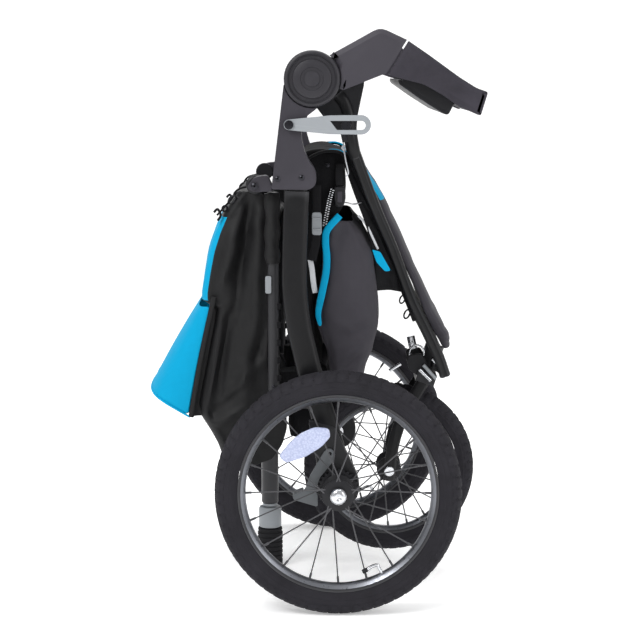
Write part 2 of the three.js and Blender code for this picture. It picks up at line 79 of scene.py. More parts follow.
ORIGIN = Vector((middle("rear_axle_right").x, 0.0, CAD_LOW[2]))


def place(x, y, z):
    return ORIGIN + Vector((x, y, z)) * MM


def local(point):
    return (Vector(point) - ORIGIN) / MM


# ---- where things are, read from the frame ----
HUB = local(middle("hub_cap_right"))
REAR_AXLE = local(middle("rear_axle_right"))
FRONT_AXLE = local(middle("front_axle"))
CANOPY_AXIS = local(middle("canopy_disc_right"))
STAND = local(middle("stand_foot"))
WHEEL_Y = abs(local(middle("rear_tyre_left")).y)
REAR_R = local(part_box("rear_tyre_right")[1]).z - REAR_AXLE.z
FRONT_R = local(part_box("front_tyre")[1]).z - FRONT_AXLE.z

# ---- camera ----
CAMERA_BACK = 3106
CAMERA_HEIGHT = 886
CAMERA_TILT = math.radians(82)
CAMERA_TURN = math.radians(0.42)
LENS = 99.3
SENSOR = 36


def make_camera():
    data = bpy.data.cameras.new("camera")
    data.lens = LENS
    data.sensor_width = SENSOR
    camera = bpy.data.objects.new("camera", data)
    bpy.context.scene.collection.objects.link(camera)
    camera.location = place(-9.3, -CAMERA_BACK, CAMERA_HEIGHT)
    camera.rotation_euler = (CAMERA_TILT, 0, CAMERA_TURN)
    bpy.context.scene.camera = camera


make_camera()


# ---- materials ----
def srgb(r, g, b):
    """A colour given in everyday 0 to 255 values, as linear light."""
    def linear(c):
        c /= 255
        return c / 12.92 if c <= 0.04045 else ((c + 0.055) / 1.055) ** 2.4
    return (linear(r), linear(g), linear(b), 1)


class Recipe:
    """Builds one node material step by step on object coordinates."""

    def __init__(self, name, color, roughness, metallic=0.0, **sockets):
        self.material = bpy.data.materials.new(name)
        self.material.use_nodes = True
        self.nodes = self.material.node_tree.nodes
        self.links = self.material.node_tree.links
        self.shader = self.nodes["Principled BSDF"]
        self.color = color
        self.set(self.shader, Base_Color=color, Roughness=roughness, Metallic=metallic, **sockets)
        self.coords = self.nodes.new("ShaderNodeTexCoord").outputs["Object"]
        self.normal = None
        self.material.diffuse_color = color

    def set(self, node, **sockets):
        for key, value in sockets.items():
            node.inputs[key.replace("_", " ")].default_value = value

    def add(self, kind, vector=None, **sockets):
        """A new node with its socket values, fed with a vector if there is one."""
        node = self.nodes.new("ShaderNode" + kind)
        self.set(node, **sockets)
        if vector is not None:
            self.links.new(vector, node.inputs["Vector"])
        return node

    def noise(self, scale, detail=4, rough=0.6, stretch=(1, 1, 1)):
        vector = self.add("Mapping", self.coords, Scale=stretch).outputs["Vector"]
        return self.add("TexNoise", vector, Scale=scale, Detail=detail, Roughness=rough).outputs["Fac"]

    def wave(self, scale, direction):
        node = self.add("TexWave", self.coords, Scale=scale, Distortion=0.0)
        node.bands_direction = direction
        return node.outputs["Fac"]

    def math(self, operation, a, b):
        node = self.add("Math")
        node.operation = operation
        for socket, value in zip(node.inputs, (a, b)):
            if isinstance(value, (int, float)):
                socket.default_value = value
            else:
                self.links.new(value, socket)
        return node.outputs[0]

    def ramp(self, value, low, high, start=0.3, end=0.7):
        node = self.add("MapRange", From_Min=start, From_Max=end, To_Min=low, To_Max=high)
        self.links.new(value, node.inputs["Value"])
        return node.outputs[0]

    def tint(self, factor, other):
        """Mixes towards another colour by factor."""
        mix = self.add("Mix")
        mix.data_type = "RGBA"
        mix.inputs["A"].default_value = self.color
        mix.inputs["B"].default_value = other
        base = self.shader.inputs["Base Color"]
        if base.is_linked:
            self.links.new(base.links[0].from_socket, mix.inputs["A"])
        self.links.new(factor, mix.inputs["Factor"])
        self.links.new(mix.outputs["Result"], base)
        return self

    def roughen(self, value):
        self.links.new(value, self.shader.inputs["Roughness"])
        return self

    def bump(self, height, strength, distance):
        node = self.add("Bump", Strength=strength, Distance=distance)
        self.links.new(height, node.inputs["Height"])
        if self.normal is not None:
            self.links.new(self.normal, node.inputs["Normal"])
        self.normal = node.outputs["Normal"]
        self.links.new(self.normal, self.shader.inputs["Normal"])
        return self

    def edges(self, amount, other):
        """Lighter wear where the surface is convex."""
        geometry = self.add("NewGeometry")
        factor = self.ramp(geometry.outputs["Pointiness"], 0.0, amount, 0.52, 0.62)
        return self.tint(factor, other)


def shade(color, factor):
    return tuple(min(1, c * factor) for c in color[:3]) + (1,)


def moulded_plastic(name, color, roughness=0.5, paler=1.7):
    recipe = Recipe(name, color, roughness, Specular_IOR_Level=0.25)
    pale = shade(color, paler)
    recipe.tint(recipe.ramp(recipe.noise(9, 3), 0.0, 0.35), pale)
    recipe.edges(0.5, pale)
    grain = recipe.noise(1400, 2)
    recipe.bump(grain, 0.25, 0.0003)
    recipe.roughen(recipe.ramp(recipe.noise(60, 4), roughness - 0.07, roughness + 0.1))
    return recipe.material


def painted_tube(name, color, roughness=0.34):
    recipe = Recipe(name, color, roughness, Specular_IOR_Level=0.22)
    recipe.tint(recipe.ramp(recipe.noise(14, 4), 0.0, 0.3), shade(color, 2.2))
    recipe.edges(0.4, srgb(120, 120, 124))
    recipe.bump(recipe.noise(500, 2), 0.12, 0.0002)
    recipe.roughen(recipe.ramp(recipe.noise(40, 5), roughness - 0.06, roughness + 0.12))
    return recipe.material


def rubber(name, color, roughness=0.78, grain=900):
    recipe = Recipe(name, color, roughness, Specular_IOR_Level=0.15)
    dusty = shade(color, 1.9)
    recipe.tint(recipe.ramp(recipe.noise(22, 6, 0.7), 0.0, 0.55), dusty)
    recipe.edges(0.5, dusty)
    recipe.bump(recipe.noise(grain, 3), 0.35, 0.0005)
    return recipe.material


def woven(name, color, roughness=0.86, pitch=900, sheen=0.03, paler=1.6, gloss=0.12):
    recipe = Recipe(name, color, roughness, Sheen_Weight=sheen, Sheen_Roughness=0.4, Specular_IOR_Level=gloss)
    pale = shade(color, paler)
    dark = shade(color, 0.62)
    # This slow noise lightens the cloth in patches: partly the cloth's own uneven tone, partly painted light
    # and shade on its wrinkles.
    recipe.tint(recipe.ramp(recipe.noise(16, 5, 0.65), 0.0, 0.45), pale)
    threads = recipe.math("MULTIPLY", recipe.wave(pitch / 6.28, "X"), recipe.wave(pitch / 6.28, "Z"))
    recipe.tint(recipe.ramp(threads, 0.4, 0.0, 0.0, 0.5), dark)
    recipe.bump(threads, 0.35, 0.0004)
    recipe.bump(recipe.noise(70, 5, 0.6), 0.25, 0.0012)
    return recipe.material


def brushed(name, color, roughness, streak=(1, 1, 1)):
    recipe = Recipe(name, color, roughness, 1.0)
    recipe.roughen(recipe.ramp(recipe.noise(260, 4, 0.7, streak), roughness - 0.06, roughness + 0.14))
    recipe.tint(recipe.ramp(recipe.noise(30, 4), 0.0, 0.3), shade(color, 0.6))
    recipe.bump(recipe.noise(700, 2, 0.5, streak), 0.08, 0.0002)
    return recipe.material


CHARCOAL = moulded_plastic("charcoal_plastic", srgb(50, 48, 54), 0.5, 1.45)
HANDLE_PLASTIC = moulded_plastic("handle_plastic", srgb(56, 54, 60), 0.46, 1.45)
DARK_PLASTIC = moulded_plastic("dark_plastic", srgb(24, 24, 27), 0.42)
CAP_PLASTIC = moulded_plastic("cap_plastic", srgb(40, 39, 43), 0.4)
GREY = moulded_plastic("grey_plastic", srgb(138, 142, 146), 0.42, 1.15)
BLACK_PAINT = painted_tube("black_paint", srgb(13, 13, 15))
SPOKE_PAINT = painted_tube("spoke_paint", srgb(22, 22, 24), 0.42)
TYRE = rubber("tyre_rubber", srgb(32, 31, 35))
GRIP = rubber("grip_rubber", srgb(44, 42, 48), 0.62, 1300)
FOOT = rubber("foot_rubber", srgb(24, 24, 26), 0.7)
RIM = brushed("rim_anodised", srgb(128, 130, 136), 0.3)
DARK_STEEL = brushed("dark_steel", srgb(52, 52, 56), 0.28)
BRAKE_GREY = moulded_plastic("brake_grey", srgb(84, 87, 90), 0.45, 1.3)
RIM_SIDE = painted_tube("rim_paint", srgb(20, 20, 22), 0.42)
CHROME = brushed("chrome", srgb(214, 216, 220), 0.14)
BLACK_CLOTH = woven("black_cloth", srgb(11, 11, 13), 0.6, 900, 0.02, 1.5, 0.3)
SEAT_CLOTH = woven("seat_cloth", srgb(18, 18, 20), 0.88, 700)
PANEL_CLOTH = woven("panel_cloth", srgb(52, 50, 56), 0.7, 1000, 0.03, 1.4, 0.25)
TEAL = woven("teal_cloth", srgb(0, 152, 196), 0.72, 1000, 0.0, 1.12)
BLACK_WEB = woven("black_webbing", srgb(22, 22, 24), 0.8, 500)
PALE_CLOTH = woven("pale_cloth", srgb(190, 192, 196), 0.8, 1200)


def lens_plastic():
    recipe = Recipe("lens_plastic", srgb(184, 191, 216), 0.16, Coat_Weight=0.6, Coat_Roughness=0.05)
    cells = recipe.add("TexVoronoi", recipe.coords, Scale=300)
    recipe.tint(recipe.ramp(cells.outputs["Distance"], 0.0, 0.5, 0.1, 0.7), srgb(128, 138, 178))
    recipe.bump(cells.outputs["Distance"], 0.6, 0.0008)
    return recipe.material


LENS_PLASTIC = lens_plastic()


# ---- mesh helpers ----
def finish_piece(mesh, name, material, body, smooth_angle=40):
    """Puts a mesh in the scene as a piece that rides on a body, or on no body when none is given."""
    piece = bpy.data.objects.new(name, mesh)
    bpy.context.scene.collection.objects.link(piece)
    materials = material if isinstance(material, tuple) else (material,)
    for one in materials:
        mesh.materials.append(one)
    for face in mesh.polygons:
        face.use_smooth = True
    mesh.set_sharp_from_angle(angle=math.radians(smooth_angle))
    if body:
        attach(piece, body)
    return piece


def build(name, verts, faces, material, body, smooth_angle=40, material_of=None):
    """A piece from millimetre points and faces; material_of picks a material index for each face."""
    mesh = bpy.data.meshes.new(name)
    mesh.from_pydata([place(*v) for v in verts], [], faces)
    bm = bmesh.new()
    bm.from_mesh(mesh)
    bmesh.ops.remove_doubles(bm, verts=bm.verts, dist=1e-6)
    bmesh.ops.recalc_face_normals(bm, faces=bm.faces)
    bm.to_mesh(mesh)
    bm.free()
    piece = finish_piece(mesh, name, material, body, smooth_angle)
    if material_of:
        for face in mesh.polygons:
            face.material_index = material_of(local(face.center))
    return piece


def grid_faces(rows, columns, close_rows=False, close_columns=False):
    faces = []
    for i in range(rows if close_rows else rows - 1):
        for j in range(columns if close_columns else columns - 1):
            a, b = i * columns + j, i * columns + (j + 1) % columns
            c, d = ((i + 1) % rows) * columns + (j + 1) % columns, ((i + 1) % rows) * columns + j
            faces.append((a, b, c, d))
    return faces


def around(count):
    """The angles of a full turn in equal steps."""
    return [2 * math.pi * i / count for i in range(count)]


def lathe(centre, profile, segments, shape=None):
    """Points and faces of a closed turned ring about Y. shape(r, y, angle) may move each point."""
    verts = []
    for angle in around(segments):
        for r, y in profile:
            if shape:
                r, y = shape(r, y, angle)
            verts.append((centre.x + r * math.sin(angle), y, centre.z + r * math.cos(angle)))
    return verts, grid_faces(segments, len(profile), True, True)


def shifted(profile, y):
    """A profile of (radius, offset) moved along the axis."""
    return [(r, y + dy) for r, dy in profile]


def mirrored(half_profile):
    """The profile followed by its mirror image about offset 0."""
    return half_profile + [(r, -dy) for r, dy in reversed(half_profile)]


def turned(name, centre, profile, segments, material, body, shape=None, angle=35):
    verts, faces = lathe(centre, profile, segments, shape)
    return build(name, verts, faces, material, body, angle)


def smooth_path(points, steps):
    """Catmull-Rom points through the given ones, steps for each span."""
    p = [Vector(q) for q in points]
    p = [p[0] * 2 - p[1]] + p + [p[-1] * 2 - p[-2]]
    out = []
    for i in range(1, len(p) - 2):
        for k in range(steps):
            t = k / steps
            a, b, c, d = p[i - 1], p[i], p[i + 1], p[i + 2]
            out.append(0.5 * ((2 * b) + (c - a) * t + (2 * a - 5 * b + 4 * c - d) * t * t
                              + (3 * b - a - 3 * c + d) * t * t * t))
    out.append(p[-2])
    return out


def sweep(path, section, up=(0, 1, 0)):
    """Points and faces of a capped tube. section(t) gives (a, b) offsets: a along up, b across it."""
    up = Vector(up)
    count = len(path)
    verts = []
    columns = len(section(0))
    for i, point in enumerate(path):
        ahead = path[min(i + 1, count - 1)] - path[max(i - 1, 0)]
        side = up.cross(ahead).normalized()
        top = ahead.cross(side).normalized()
        for a, b in section(i / (count - 1)):
            verts.append(tuple(point + top * a + side * b))
    faces = grid_faces(count, columns, False, True)
    faces.append(tuple(range(columns))[::-1])
    faces.append(tuple(range((count - 1) * columns, count * columns)))
    return verts, faces


def oval(width, height, sides=20, power=1.0):
    """An oval section; power below 1 squares it off."""
    points = []
    for angle in around(sides):
        c, s = math.cos(angle), math.sin(angle)
        points.append((width / 2 * math.copysign(abs(c) ** power, c),
                       height / 2 * math.copysign(abs(s) ** power, s)))
    return points


def swept(name, points, section, material, body, steps=6, up=(0, 1, 0), angle=50):
    shape = section if callable(section) else (lambda t: section)
    verts, faces = sweep(smooth_path(points, steps), shape, up)
    return build(name, verts, faces, material, body, angle)


def bevel(piece, width, segments=3, angle=30):
    modifier = piece.modifiers.new("bevel", "BEVEL")
    modifier.width = width * MM
    modifier.segments = segments
    modifier.limit_method = "ANGLE"
    modifier.angle_limit = math.radians(angle)
    modifier.harden_normals = True
    return piece


def subdivide(piece, levels=1):
    modifier = piece.modifiers.new("smooth", "SUBSURF")
    modifier.levels = modifier.render_levels = levels
    return piece


def slope_upper_edge(bm, middle, band, drop):
    """Cuts a sloping band along the upper edge of the outermost flat faces."""
    reach = max(abs(v.co.y) for v in bm.verts)
    flat = [f for f in bm.faces if abs(f.normal.y) > 0.99
            and abs(f.calc_center_median().y) > reach - 0.1 * MM]
    bmesh.ops.inset_region(bm, faces=flat, thickness=band * MM, use_even_offset=True)
    kept = {v for f in flat for v in f.verts}
    for v in bm.verts:
        point = local(v.co)
        if v not in kept and abs(v.co.y) > reach - 0.1 * MM and point.z > middle(point.x):
            v.co.y -= math.copysign(drop * MM, v.co.y)


def rounded_copy(node, suffix, material, body, width=2.0, segments=3, middle=None, name=None):
    """The CAD node's own shape with its planar faces merged and its edges rounded."""
    mesh = bpy.data.objects[node].data.copy()
    mesh.materials.clear()
    bm = bmesh.new()
    bm.from_mesh(mesh)
    bmesh.ops.remove_doubles(bm, verts=bm.verts, dist=1e-5)
    bmesh.ops.dissolve_limit(bm, angle_limit=math.radians(3), verts=bm.verts, edges=bm.edges)
    if middle:
        slope_upper_edge(bm, middle, 8, 5)
    bm.to_mesh(mesh)
    bm.free()
    piece = finish_piece(mesh, name or f"{node}_{suffix}", material, body)
    bevel(piece, width, segments)
    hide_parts(node)
    return piece


def prism(name, outline, y0, y1, material, body, width=1.5, segments=2):
    """A plate with rounded edges; its outline in x and z is given as for arc_outline."""
    outline = arc_outline(outline)
    verts = [(x, y, z) for y in (y0, y1) for x, z in outline]
    count = len(outline)
    faces = [tuple(range(count)), tuple(range(count, 2 * count))[::-1]]
    faces += [(i, (i + 1) % count, count + (i + 1) % count, count + i) for i in range(count)]
    piece = build(name, verts, faces, material, body)
    return bevel(piece, width, segments)


def join_meshes(parts):
    """Joins (verts, faces) lists into one."""
    verts, faces = [], []
    for v, f in parts:
        shift = len(verts)
        verts += list(v)
        faces += [tuple(k + shift for k in face) for face in f]
    return verts, faces


def rod(start, end, radius, sides=8):
    start, end = Vector(start), Vector(end)
    up = Vector((0, 1, 0)) if abs((end - start).normalized().y) < 0.9 else Vector((1, 0, 0))
    ring = [(radius * math.cos(a), radius * math.sin(a)) for a in around(sides)]
    return sweep([start, (start + end) / 2, end], lambda t: ring, up)


def rod_piece(name, start, end, radius, sides, material, body):
    verts, faces = rod(start, end, radius, sides)
    return build(name, verts, faces, material, body)


def arc_outline(points, rounds=4):
    """Rounds each corner that has a third number, as on the CAD outlines."""
    out = []
    count = len(points)
    for i, corner in enumerate(points):
        x, z = corner[:2]
        size = corner[2] if len(corner) > 2 else 0
        if not size:
            out.append((x, z))
            continue
        here = Vector((x, z))
        ends = []
        for other in (points[i - 1], points[(i + 1) % count]):
            there = Vector(other[:2])
            ends.append(here.lerp(there, min(size / (there - here).length, 0.45)))
        for k in range(rounds + 1):
            t = k / rounds
            point = ends[0].lerp(here, t).lerp(here.lerp(ends[1], t), t)
            out.append(tuple(point))
    return out


def screw(name, x, y, z, side, body, radius=5):
    """A domed screw head facing outwards from the side."""
    profile = [(0.01, y - 2 * side), (radius, y - 2 * side), (radius, y + 1 * side),
               (radius * 0.7, y + 2.2 * side), (radius * 0.28, y + 2.6 * side), (0.01, y + 1.0 * side)]
    return turned(name, Vector((x, 0, z)), profile, 18, DARK_STEEL, body)


# ---- wheels ----
REAR_BEAD = REAR_R - 37.5
REAR_INNER = REAR_R - 52
FRONT_BEAD = FRONT_R - 30
FRONT_INNER = FRONT_R - 43
SPOKES = 20
TREAD_BLOCKS = 66
TREAD_DEPTH = 2.0
RING_STEPS = 96


def tyre_profile(radius, bead, half):
    """Section of a tyre as (radius, offset): sidewall, shoulder, crown and back."""
    crown = []
    for i in range(19):
        across = -1 + 2 * i / 18
        height = radius - 7.5 * abs(across) ** 2.4
        crown.append((height, across * half * 0.93))
    wall = [(radius - 9, half * 0.985), (radius - 12.5, half), (radius - 15, half),
            (radius - 16, half * 0.955), (radius - 18, half * 0.955), (radius - 19, half * 0.975),
            (bead + 12, half * 0.9), (bead + 11, half * 0.92), (bead + 9.5, half * 0.9),
            (bead + 5, half * 0.74), (bead + 3, half * 0.68), (bead, half * 0.6)]
    return [(r, -y) for r, y in reversed(wall)] + crown + wall


def build_tyre(name, node, centre, y, radius, bead, half, blocks, body):
    def tread(r, dy, angle):
        across = abs(dy) / half
        if r < radius - 8.5:
            step = (angle * blocks / (2 * math.pi) + (0.5 if dy > 0 else 0) + 0.34) % 1
            notch = 0.93 if r > radius - 15.5 and step < 0.24 else 1
            return r, y + dy * notch
        phase = (angle * blocks / (2 * math.pi) + (0.5 if dy > 0 else 0) + across * 0.35) % 1
        groove = phase < 0.2 and across > 0.28
        ring = 0.2 < across < 0.3
        centre_cut = across < 0.16 and (angle * blocks / (2 * math.pi) + 0.5) % 1 < 0.16
        return (r - TREAD_DEPTH if groove or ring or centre_cut else r), y + dy
    piece = turned(name, centre, tyre_profile(radius, bead, half), blocks * 6, TYRE, body, tread, 30)
    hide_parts(node)


def build_rim(prefix, node, centre, y, bead, inner, half, body):
    top = bead - 0.6
    edge = [(top, -half), (top - 2, -half - 0.6), (top - 4, -half + 0.2), (top - 4.8, -half + 2)]
    turned(prefix + "_rim_edge", centre, shifted(mirrored(edge), y), RING_STEPS, RIM_SIDE, body)
    barrel = [(top - 4.4, -half + 1.8), (inner + 4, -half * 0.6), (inner + 0.8, -half * 0.36),
              (inner, -half * 0.2)]
    piece = turned(prefix + "_rim_barrel", centre, shifted(mirrored(barrel), y), RING_STEPS, RIM, body)
    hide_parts(node)


def build_spokes(prefix, node, centre, y, flange, shell, bore, half, inner, count, lean, body):
    parts = []
    for i, end in enumerate(around(count)):
        outer = 1 if i % 2 else -1
        start = end + (lean if i % 4 < 2 else -lean)
        a = (centre.x + (flange - 3) * math.cos(start), y + outer * (half - 1),
             centre.z + (flange - 3) * math.sin(start))
        b = (centre.x + (inner + 1) * math.cos(end), y + outer * 1.5, centre.z + (inner + 1) * math.sin(end))
        parts.append(rod(a, b, 1.15))
        parts.append(rod(Vector(b).lerp(Vector(a), 0.075), b, 2.0))
    verts, faces = join_meshes(parts)
    build(prefix + "_spokes", verts, faces, SPOKE_PAINT, body)
    hub = [(bore, -half), (flange - 3, -half), (flange, -half + 1), (flange, -half + 3),
           (flange - 2, -half + 4), (shell + 2, -half + 6.5), (shell, -half + 10)]
    piece = turned(prefix + "_hub_shell", centre, shifted(mirrored(hub), y), 40, DARK_PLASTIC, body)
    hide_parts(node)


def valve(prefix, centre, y, inner, at, body, side):
    direction = Vector((math.sin(at), 0, math.cos(at)))
    root = Vector((centre.x, y, centre.z)) + direction * (inner + 1)
    tip = root - direction * 14
    bent = tip + Vector((direction.z, 0, -direction.x)) * 18 - direction * 2 + Vector((0, 4 * side, 0))
    path = [root, root.lerp(tip, 0.6), tip, tip.lerp(bent, 0.5) - direction * 1.5, bent]
    swept(prefix + "_valve_stem", path, oval(6, 6, 10), CHROME, body, 4)
    end = bent + (bent - tip).normalized() * 9
    rod_piece(prefix + "_valve_cap", bent, end, 3.8, 12, DARK_PLASTIC, body)


def toothed_ring(name, node, centre, y0, y1, inner, outer, teeth, body):
    steps = teeth * 4

    def tooth(r, y, angle):
        up = int(angle / (2 * math.pi) * steps + 0.5) % 4 in (0, 1)
        return (r if up or r < outer - 2 else r - 3.2), y
    profile = [(inner, y0), (outer, y0), (outer, y1), (inner, y1)]
    piece = turned(name, centre, profile, steps, DARK_PLASTIC, body, tooth, 25)
    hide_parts(node)


for label, side in SIDES:
    body = "rear_wheel_" + label
    prefix = "rear_" + label
    y = WHEEL_Y * side
    build_tyre(prefix + "_tyre", "rear_tyre_" + label, REAR_AXLE, y, REAR_R, REAR_BEAD, 22, TREAD_BLOCKS,
               body)
    build_rim(prefix, "rear_rim_" + label, REAR_AXLE, y, REAR_BEAD, REAR_INNER + 1, 14, body)
    build_spokes(prefix, "rear_hub_spokes_" + label, REAR_AXLE, y, 26, 15, 6.3, 22, REAR_INNER, SPOKES, 0.45,
                 body)
    valve(prefix, REAR_AXLE, y, REAR_INNER, math.radians(152), body, side)
    low, high = (local(v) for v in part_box("brake_ring_" + label))
    toothed_ring(prefix + "_brake_ring", "brake_ring_" + label, REAR_AXLE, low.y, high.y, 16, 34, 26, body)
    rounded_copy("spoke_reflector_" + label, "", LENS_PLASTIC, body, 2.2, 4, name=prefix + "_reflector")
build_tyre("front_wheel_tyre", "front_tyre", FRONT_AXLE, 0, FRONT_R, FRONT_BEAD, 19, 54, "front_wheel")
build_rim("front_wheel", "front_rim", FRONT_AXLE, 0, FRONT_BEAD, FRONT_INNER + 1, 12, "front_wheel")
build_spokes("front_wheel", "front_hub_spokes", FRONT_AXLE, 0, 22, 12, 5.3, 27, FRONT_INNER, SPOKES, 0.5,
             "front_wheel")
valve("front_wheel", FRONT_AXLE, 0, FRONT_INNER, math.radians(100), "front_wheel", 1)


# ---- hubs, brackets and legs ----
CAP_FACE = 257


def hub_cap(label, side):
    depths = [(0.01, 14), (44.5, 14), (45.5, 12), (45.5, 4), (44, 1.5), (42.5, 0.4), (39.5, 0.2), (38, 1.5),
              (37.2, 3.6), (31.5, 3.8), (30.8, 1.4), (29.6, 0.8), (19, 0.1), (18.2, 1.1), (13, 1.3),
              (12.4, 0.3), (0.01, 0)]
    relief = [(r, (CAP_FACE - depth) * side) for r, depth in depths]
    piece = turned("hub_cap_" + label + "_relief", HUB, relief, 72, CAP_PLASTIC, REAR)
    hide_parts("hub_cap_" + label)
    band = [(38.6, 2.6), (38.6, 0.15), (40.2, 0.05), (40.2, 2.6)]
    ring = [(r, (CAP_FACE - depth) * side) for r, depth in band]
    turned("hub_cap_" + label + "_ring", HUB, ring, 72, DARK_PLASTIC, REAR)


LEG = [(-68, 694), (-71, 620), (-72, 540), (-66, 478), (-57, 436), (-46, 392), (-20, 306), (-7, 258),
       (-4, 246)]

for label, side in SIDES:
    hub_cap(label, side)
    rounded_copy("leg_bracket_" + label, "cover", CHARCOAL, REAR, 4, 4)
    rounded_copy("front_bracket_" + label, "shell", DARK_PLASTIC, FRONT, 3)
    low, high = (local(v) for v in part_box("rear_leg_" + label))
    leg_y = (low.y + high.y) / 2
    leg = swept("rear_leg_" + label + "_tube", [(x, leg_y, z) for x, z in LEG], oval(21.6, 40.6, 28, 0.8),
                BLACK_PAINT, REAR, 8)
    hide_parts("rear_leg_" + label)
    spigot = [(-68, leg_y, z) for z in (684, 698, 712)]
    swept("leg_spigot_" + label, spigot, oval(18, 34, 24, 0.8), BLACK_PAINT, REAR, 2)
    for i, (dx, dz) in enumerate(((-56, -160), (-17, -158))):
        screw(f"bracket_screw_{label}_{i}", HUB.x + dx, 252 * side, HUB.z + dz, side, REAR, 4.6)
    rounded_copy("axle_bracket_" + label, "casting", BLACK_PAINT, REAR, 2.5)
    casting = [(-50, 318, 8), (-6, 306, 8), (14, 262, 20), (33, 222, 14), (36, 203, 12), (26, 177, 14),
               (0, 168, 14), (-25, 178, 14), (-35, 203, 12), (-35, 240, 16)]
    prism("leg_foot_" + label, casting, 223 * side, 246.6 * side, BLACK_PAINT, REAR, 3, 3)
    rounded_copy("brake_lever_" + label, "pedal", BRAKE_GREY, "brake_lever_" + label, 2.2)
    rounded_copy("canopy_mount_" + label, "ear", CHARCOAL, REAR, 2)
    rounded_copy("seat_rail_" + label, "tube", BLACK_PAINT, REAR, 2)
    bolt = [(0.01, 312), (6, 315.5), (9, 315), (12.5, 312.5), (14, 309), (14, 305), (6, 304.6), (6, 224),
            (11, 223.4), (11, 218.4), (0.01, 218.2)]
    cap = [(r, y * side) for r, y in bolt]
    axle = turned("rear_axle_" + label + "_bolt", REAR_AXLE, cap, 32, CHROME, REAR)
    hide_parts("rear_axle_" + label)
    rounded_copy("canopy_disc_" + label, "ratchet", DARK_PLASTIC, CANOPY, 1.2)
    screw(f"canopy_screw_{label}", CANOPY_AXIS.x, 234.4 * side, CANOPY_AXIS.z, side, CANOPY, 5.5)
    bpy.data.objects["fold_pin_" + label].data.materials[0] = CHROME

# ---- front frame ----
FRONT_TUBE = [(23, 196, 763), (39, 178, 719), (62, 160, 659), (92, 134, 588), (125, 103, 501), (156, 75, 436),
              (176, 55, 392), (188, 42, 358)]
for label, side in SIDES:
    path = [(x, y * side, z) for x, y, z in FRONT_TUBE]
    ridge = []
    for a, b in oval(19.6, 19.6, 32, 0.85):
        dent = 0.86 if abs(a) > 5 and abs(b) < 2.6 else 1.0
        ridge.append((a * dent, b))
    upper = [(-2, 201 * side, 850), (9, 201 * side, 836), (17, 200 * side, 812), (18, 199 * side, 790),
             (23, 196 * side, 763), (28, 190 * side, 748)]
    swept("front_tube_" + label + "_upper", upper, lambda t: oval(25 - 5.5 * t ** 3, 25 - 5.5 * t ** 3, 28),
          BLACK_PAINT, FRONT, 8)
    tube = swept("front_tube_" + label + "_bar", path, ridge, BLACK_PAINT, FRONT, 10, (0, 1, 0), 30)
    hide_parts("front_tube_" + label)
rounded_copy("head_lug", "casting", BLACK_PAINT, FRONT, 2.5)
rounded_copy("swivel_lock_knob", "", CHROME, FRONT, 1.6, name="swivel_lock_plunger")
rounded_copy("front_fork", "casting", BLACK_PAINT, "front_fork", 2.5)
rounded_copy("front_axle", "bolt", CHROME, "front_fork", 1.5)
rounded_copy("latch_pin", "head", DARK_STEEL, FRONT, 1)
rounded_copy("latch_link", "plate", GREY, "latch_link", 1.2)
rounded_copy("latch_screw", "head", DARK_STEEL, REAR, 1)

# ---- stand and cross tubes ----
CROSS = [(-40, 222.6, 340), (-41, 210, 340), (-60, 180, 336), (-90, 130, 325), (-116, 60, 315),
         (-122, 0, 313)]
path = CROSS + [(x, -y, z) for x, y, z in reversed(CROSS[:-1])]
cross = swept("rear_cross_tube_bow", path, oval(24.4, 24.4, 20), BLACK_PAINT, REAR, 5, (0, 0, 1))
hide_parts("rear_cross_tube")
rounded_copy("seat_cross_bar", "tube", BLACK_PAINT, REAR, 1)


def post_lathe(name, node, profile, material, segments=36):
    """A turned piece about the stand's upright axis; profile is (radius, height)."""
    verts = []
    for angle in around(segments):
        verts += [(STAND.x + r * math.cos(angle), STAND.y + r * math.sin(angle), z) for r, z in profile]
    piece = build(name, verts, grid_faces(segments, len(profile), True, True), material, REAR)
    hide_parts(node)


foot = [(0.01, 0.2), (20.5, 0.2), (22.3, 2), (22.4, 6)]
for i in range(7):
    z = 9 + i * 8.4
    foot += [(22.6, z), (22.6, z + 4.2), (20.8, z + 5.4), (20.8, z + 7)]
foot += [(22, 69), (21, 72), (0.01, 72.4)]
post_lathe("stand_foot_ribbed", "stand_foot", foot, FOOT, 48)
post_lathe("stand_collar_band", "stand_collar", [(0.01, 74), (19, 74), (20.3, 76), (20.3, 107), (18.5, 110.5),
                                                 (0.01, 111)], GREY)
post_lathe("stand_ring_band", "stand_ring", [(0.01, 112.2), (12.6, 112.2), (12.9, 113), (12.9, 117),
                                             (0.01, 117.4)], GREY)
post_lathe("stand_post_tube", "stand_post", [(0.01, 118.2), (14, 118.2), (15.3, 120), (15.3, 298),
                                             (14, 299.6), (0.01, 299.8)], BLACK_PAINT)

# ---- handle ----
def handle_middle(x):
    """Height of the handle's middle line, that parts its upper from its lower edge."""
    return 885 + 30 * x / 90 if x < 90 else 915 - 80 * (x - 90) / 145


for label, side in SIDES:
    rounded_copy("handle_arm_" + label, "shell", HANDLE_PLASTIC, "handle", 1.5, 3, handle_middle)
rounded_copy("handle_grip", "rubber", GRIP, "handle", 1.5, 3, handle_middle)
rounded_copy("handle_brace", "shell", DARK_PLASTIC, "handle", 2)
for label, side in SIDES:
    cheek = [(101, 872, 4), (104, 866, 4), (133, 847), (161, 829), (172, 823, 3), (178, 824, 3),
             (186, 838, 2), (168, 852), (140, 869), (112, 880, 4)]
    prism("handle_brace_cheek_" + label, cheek, 214 * side, 221.4 * side, DARK_PLASTIC, "handle", 1)


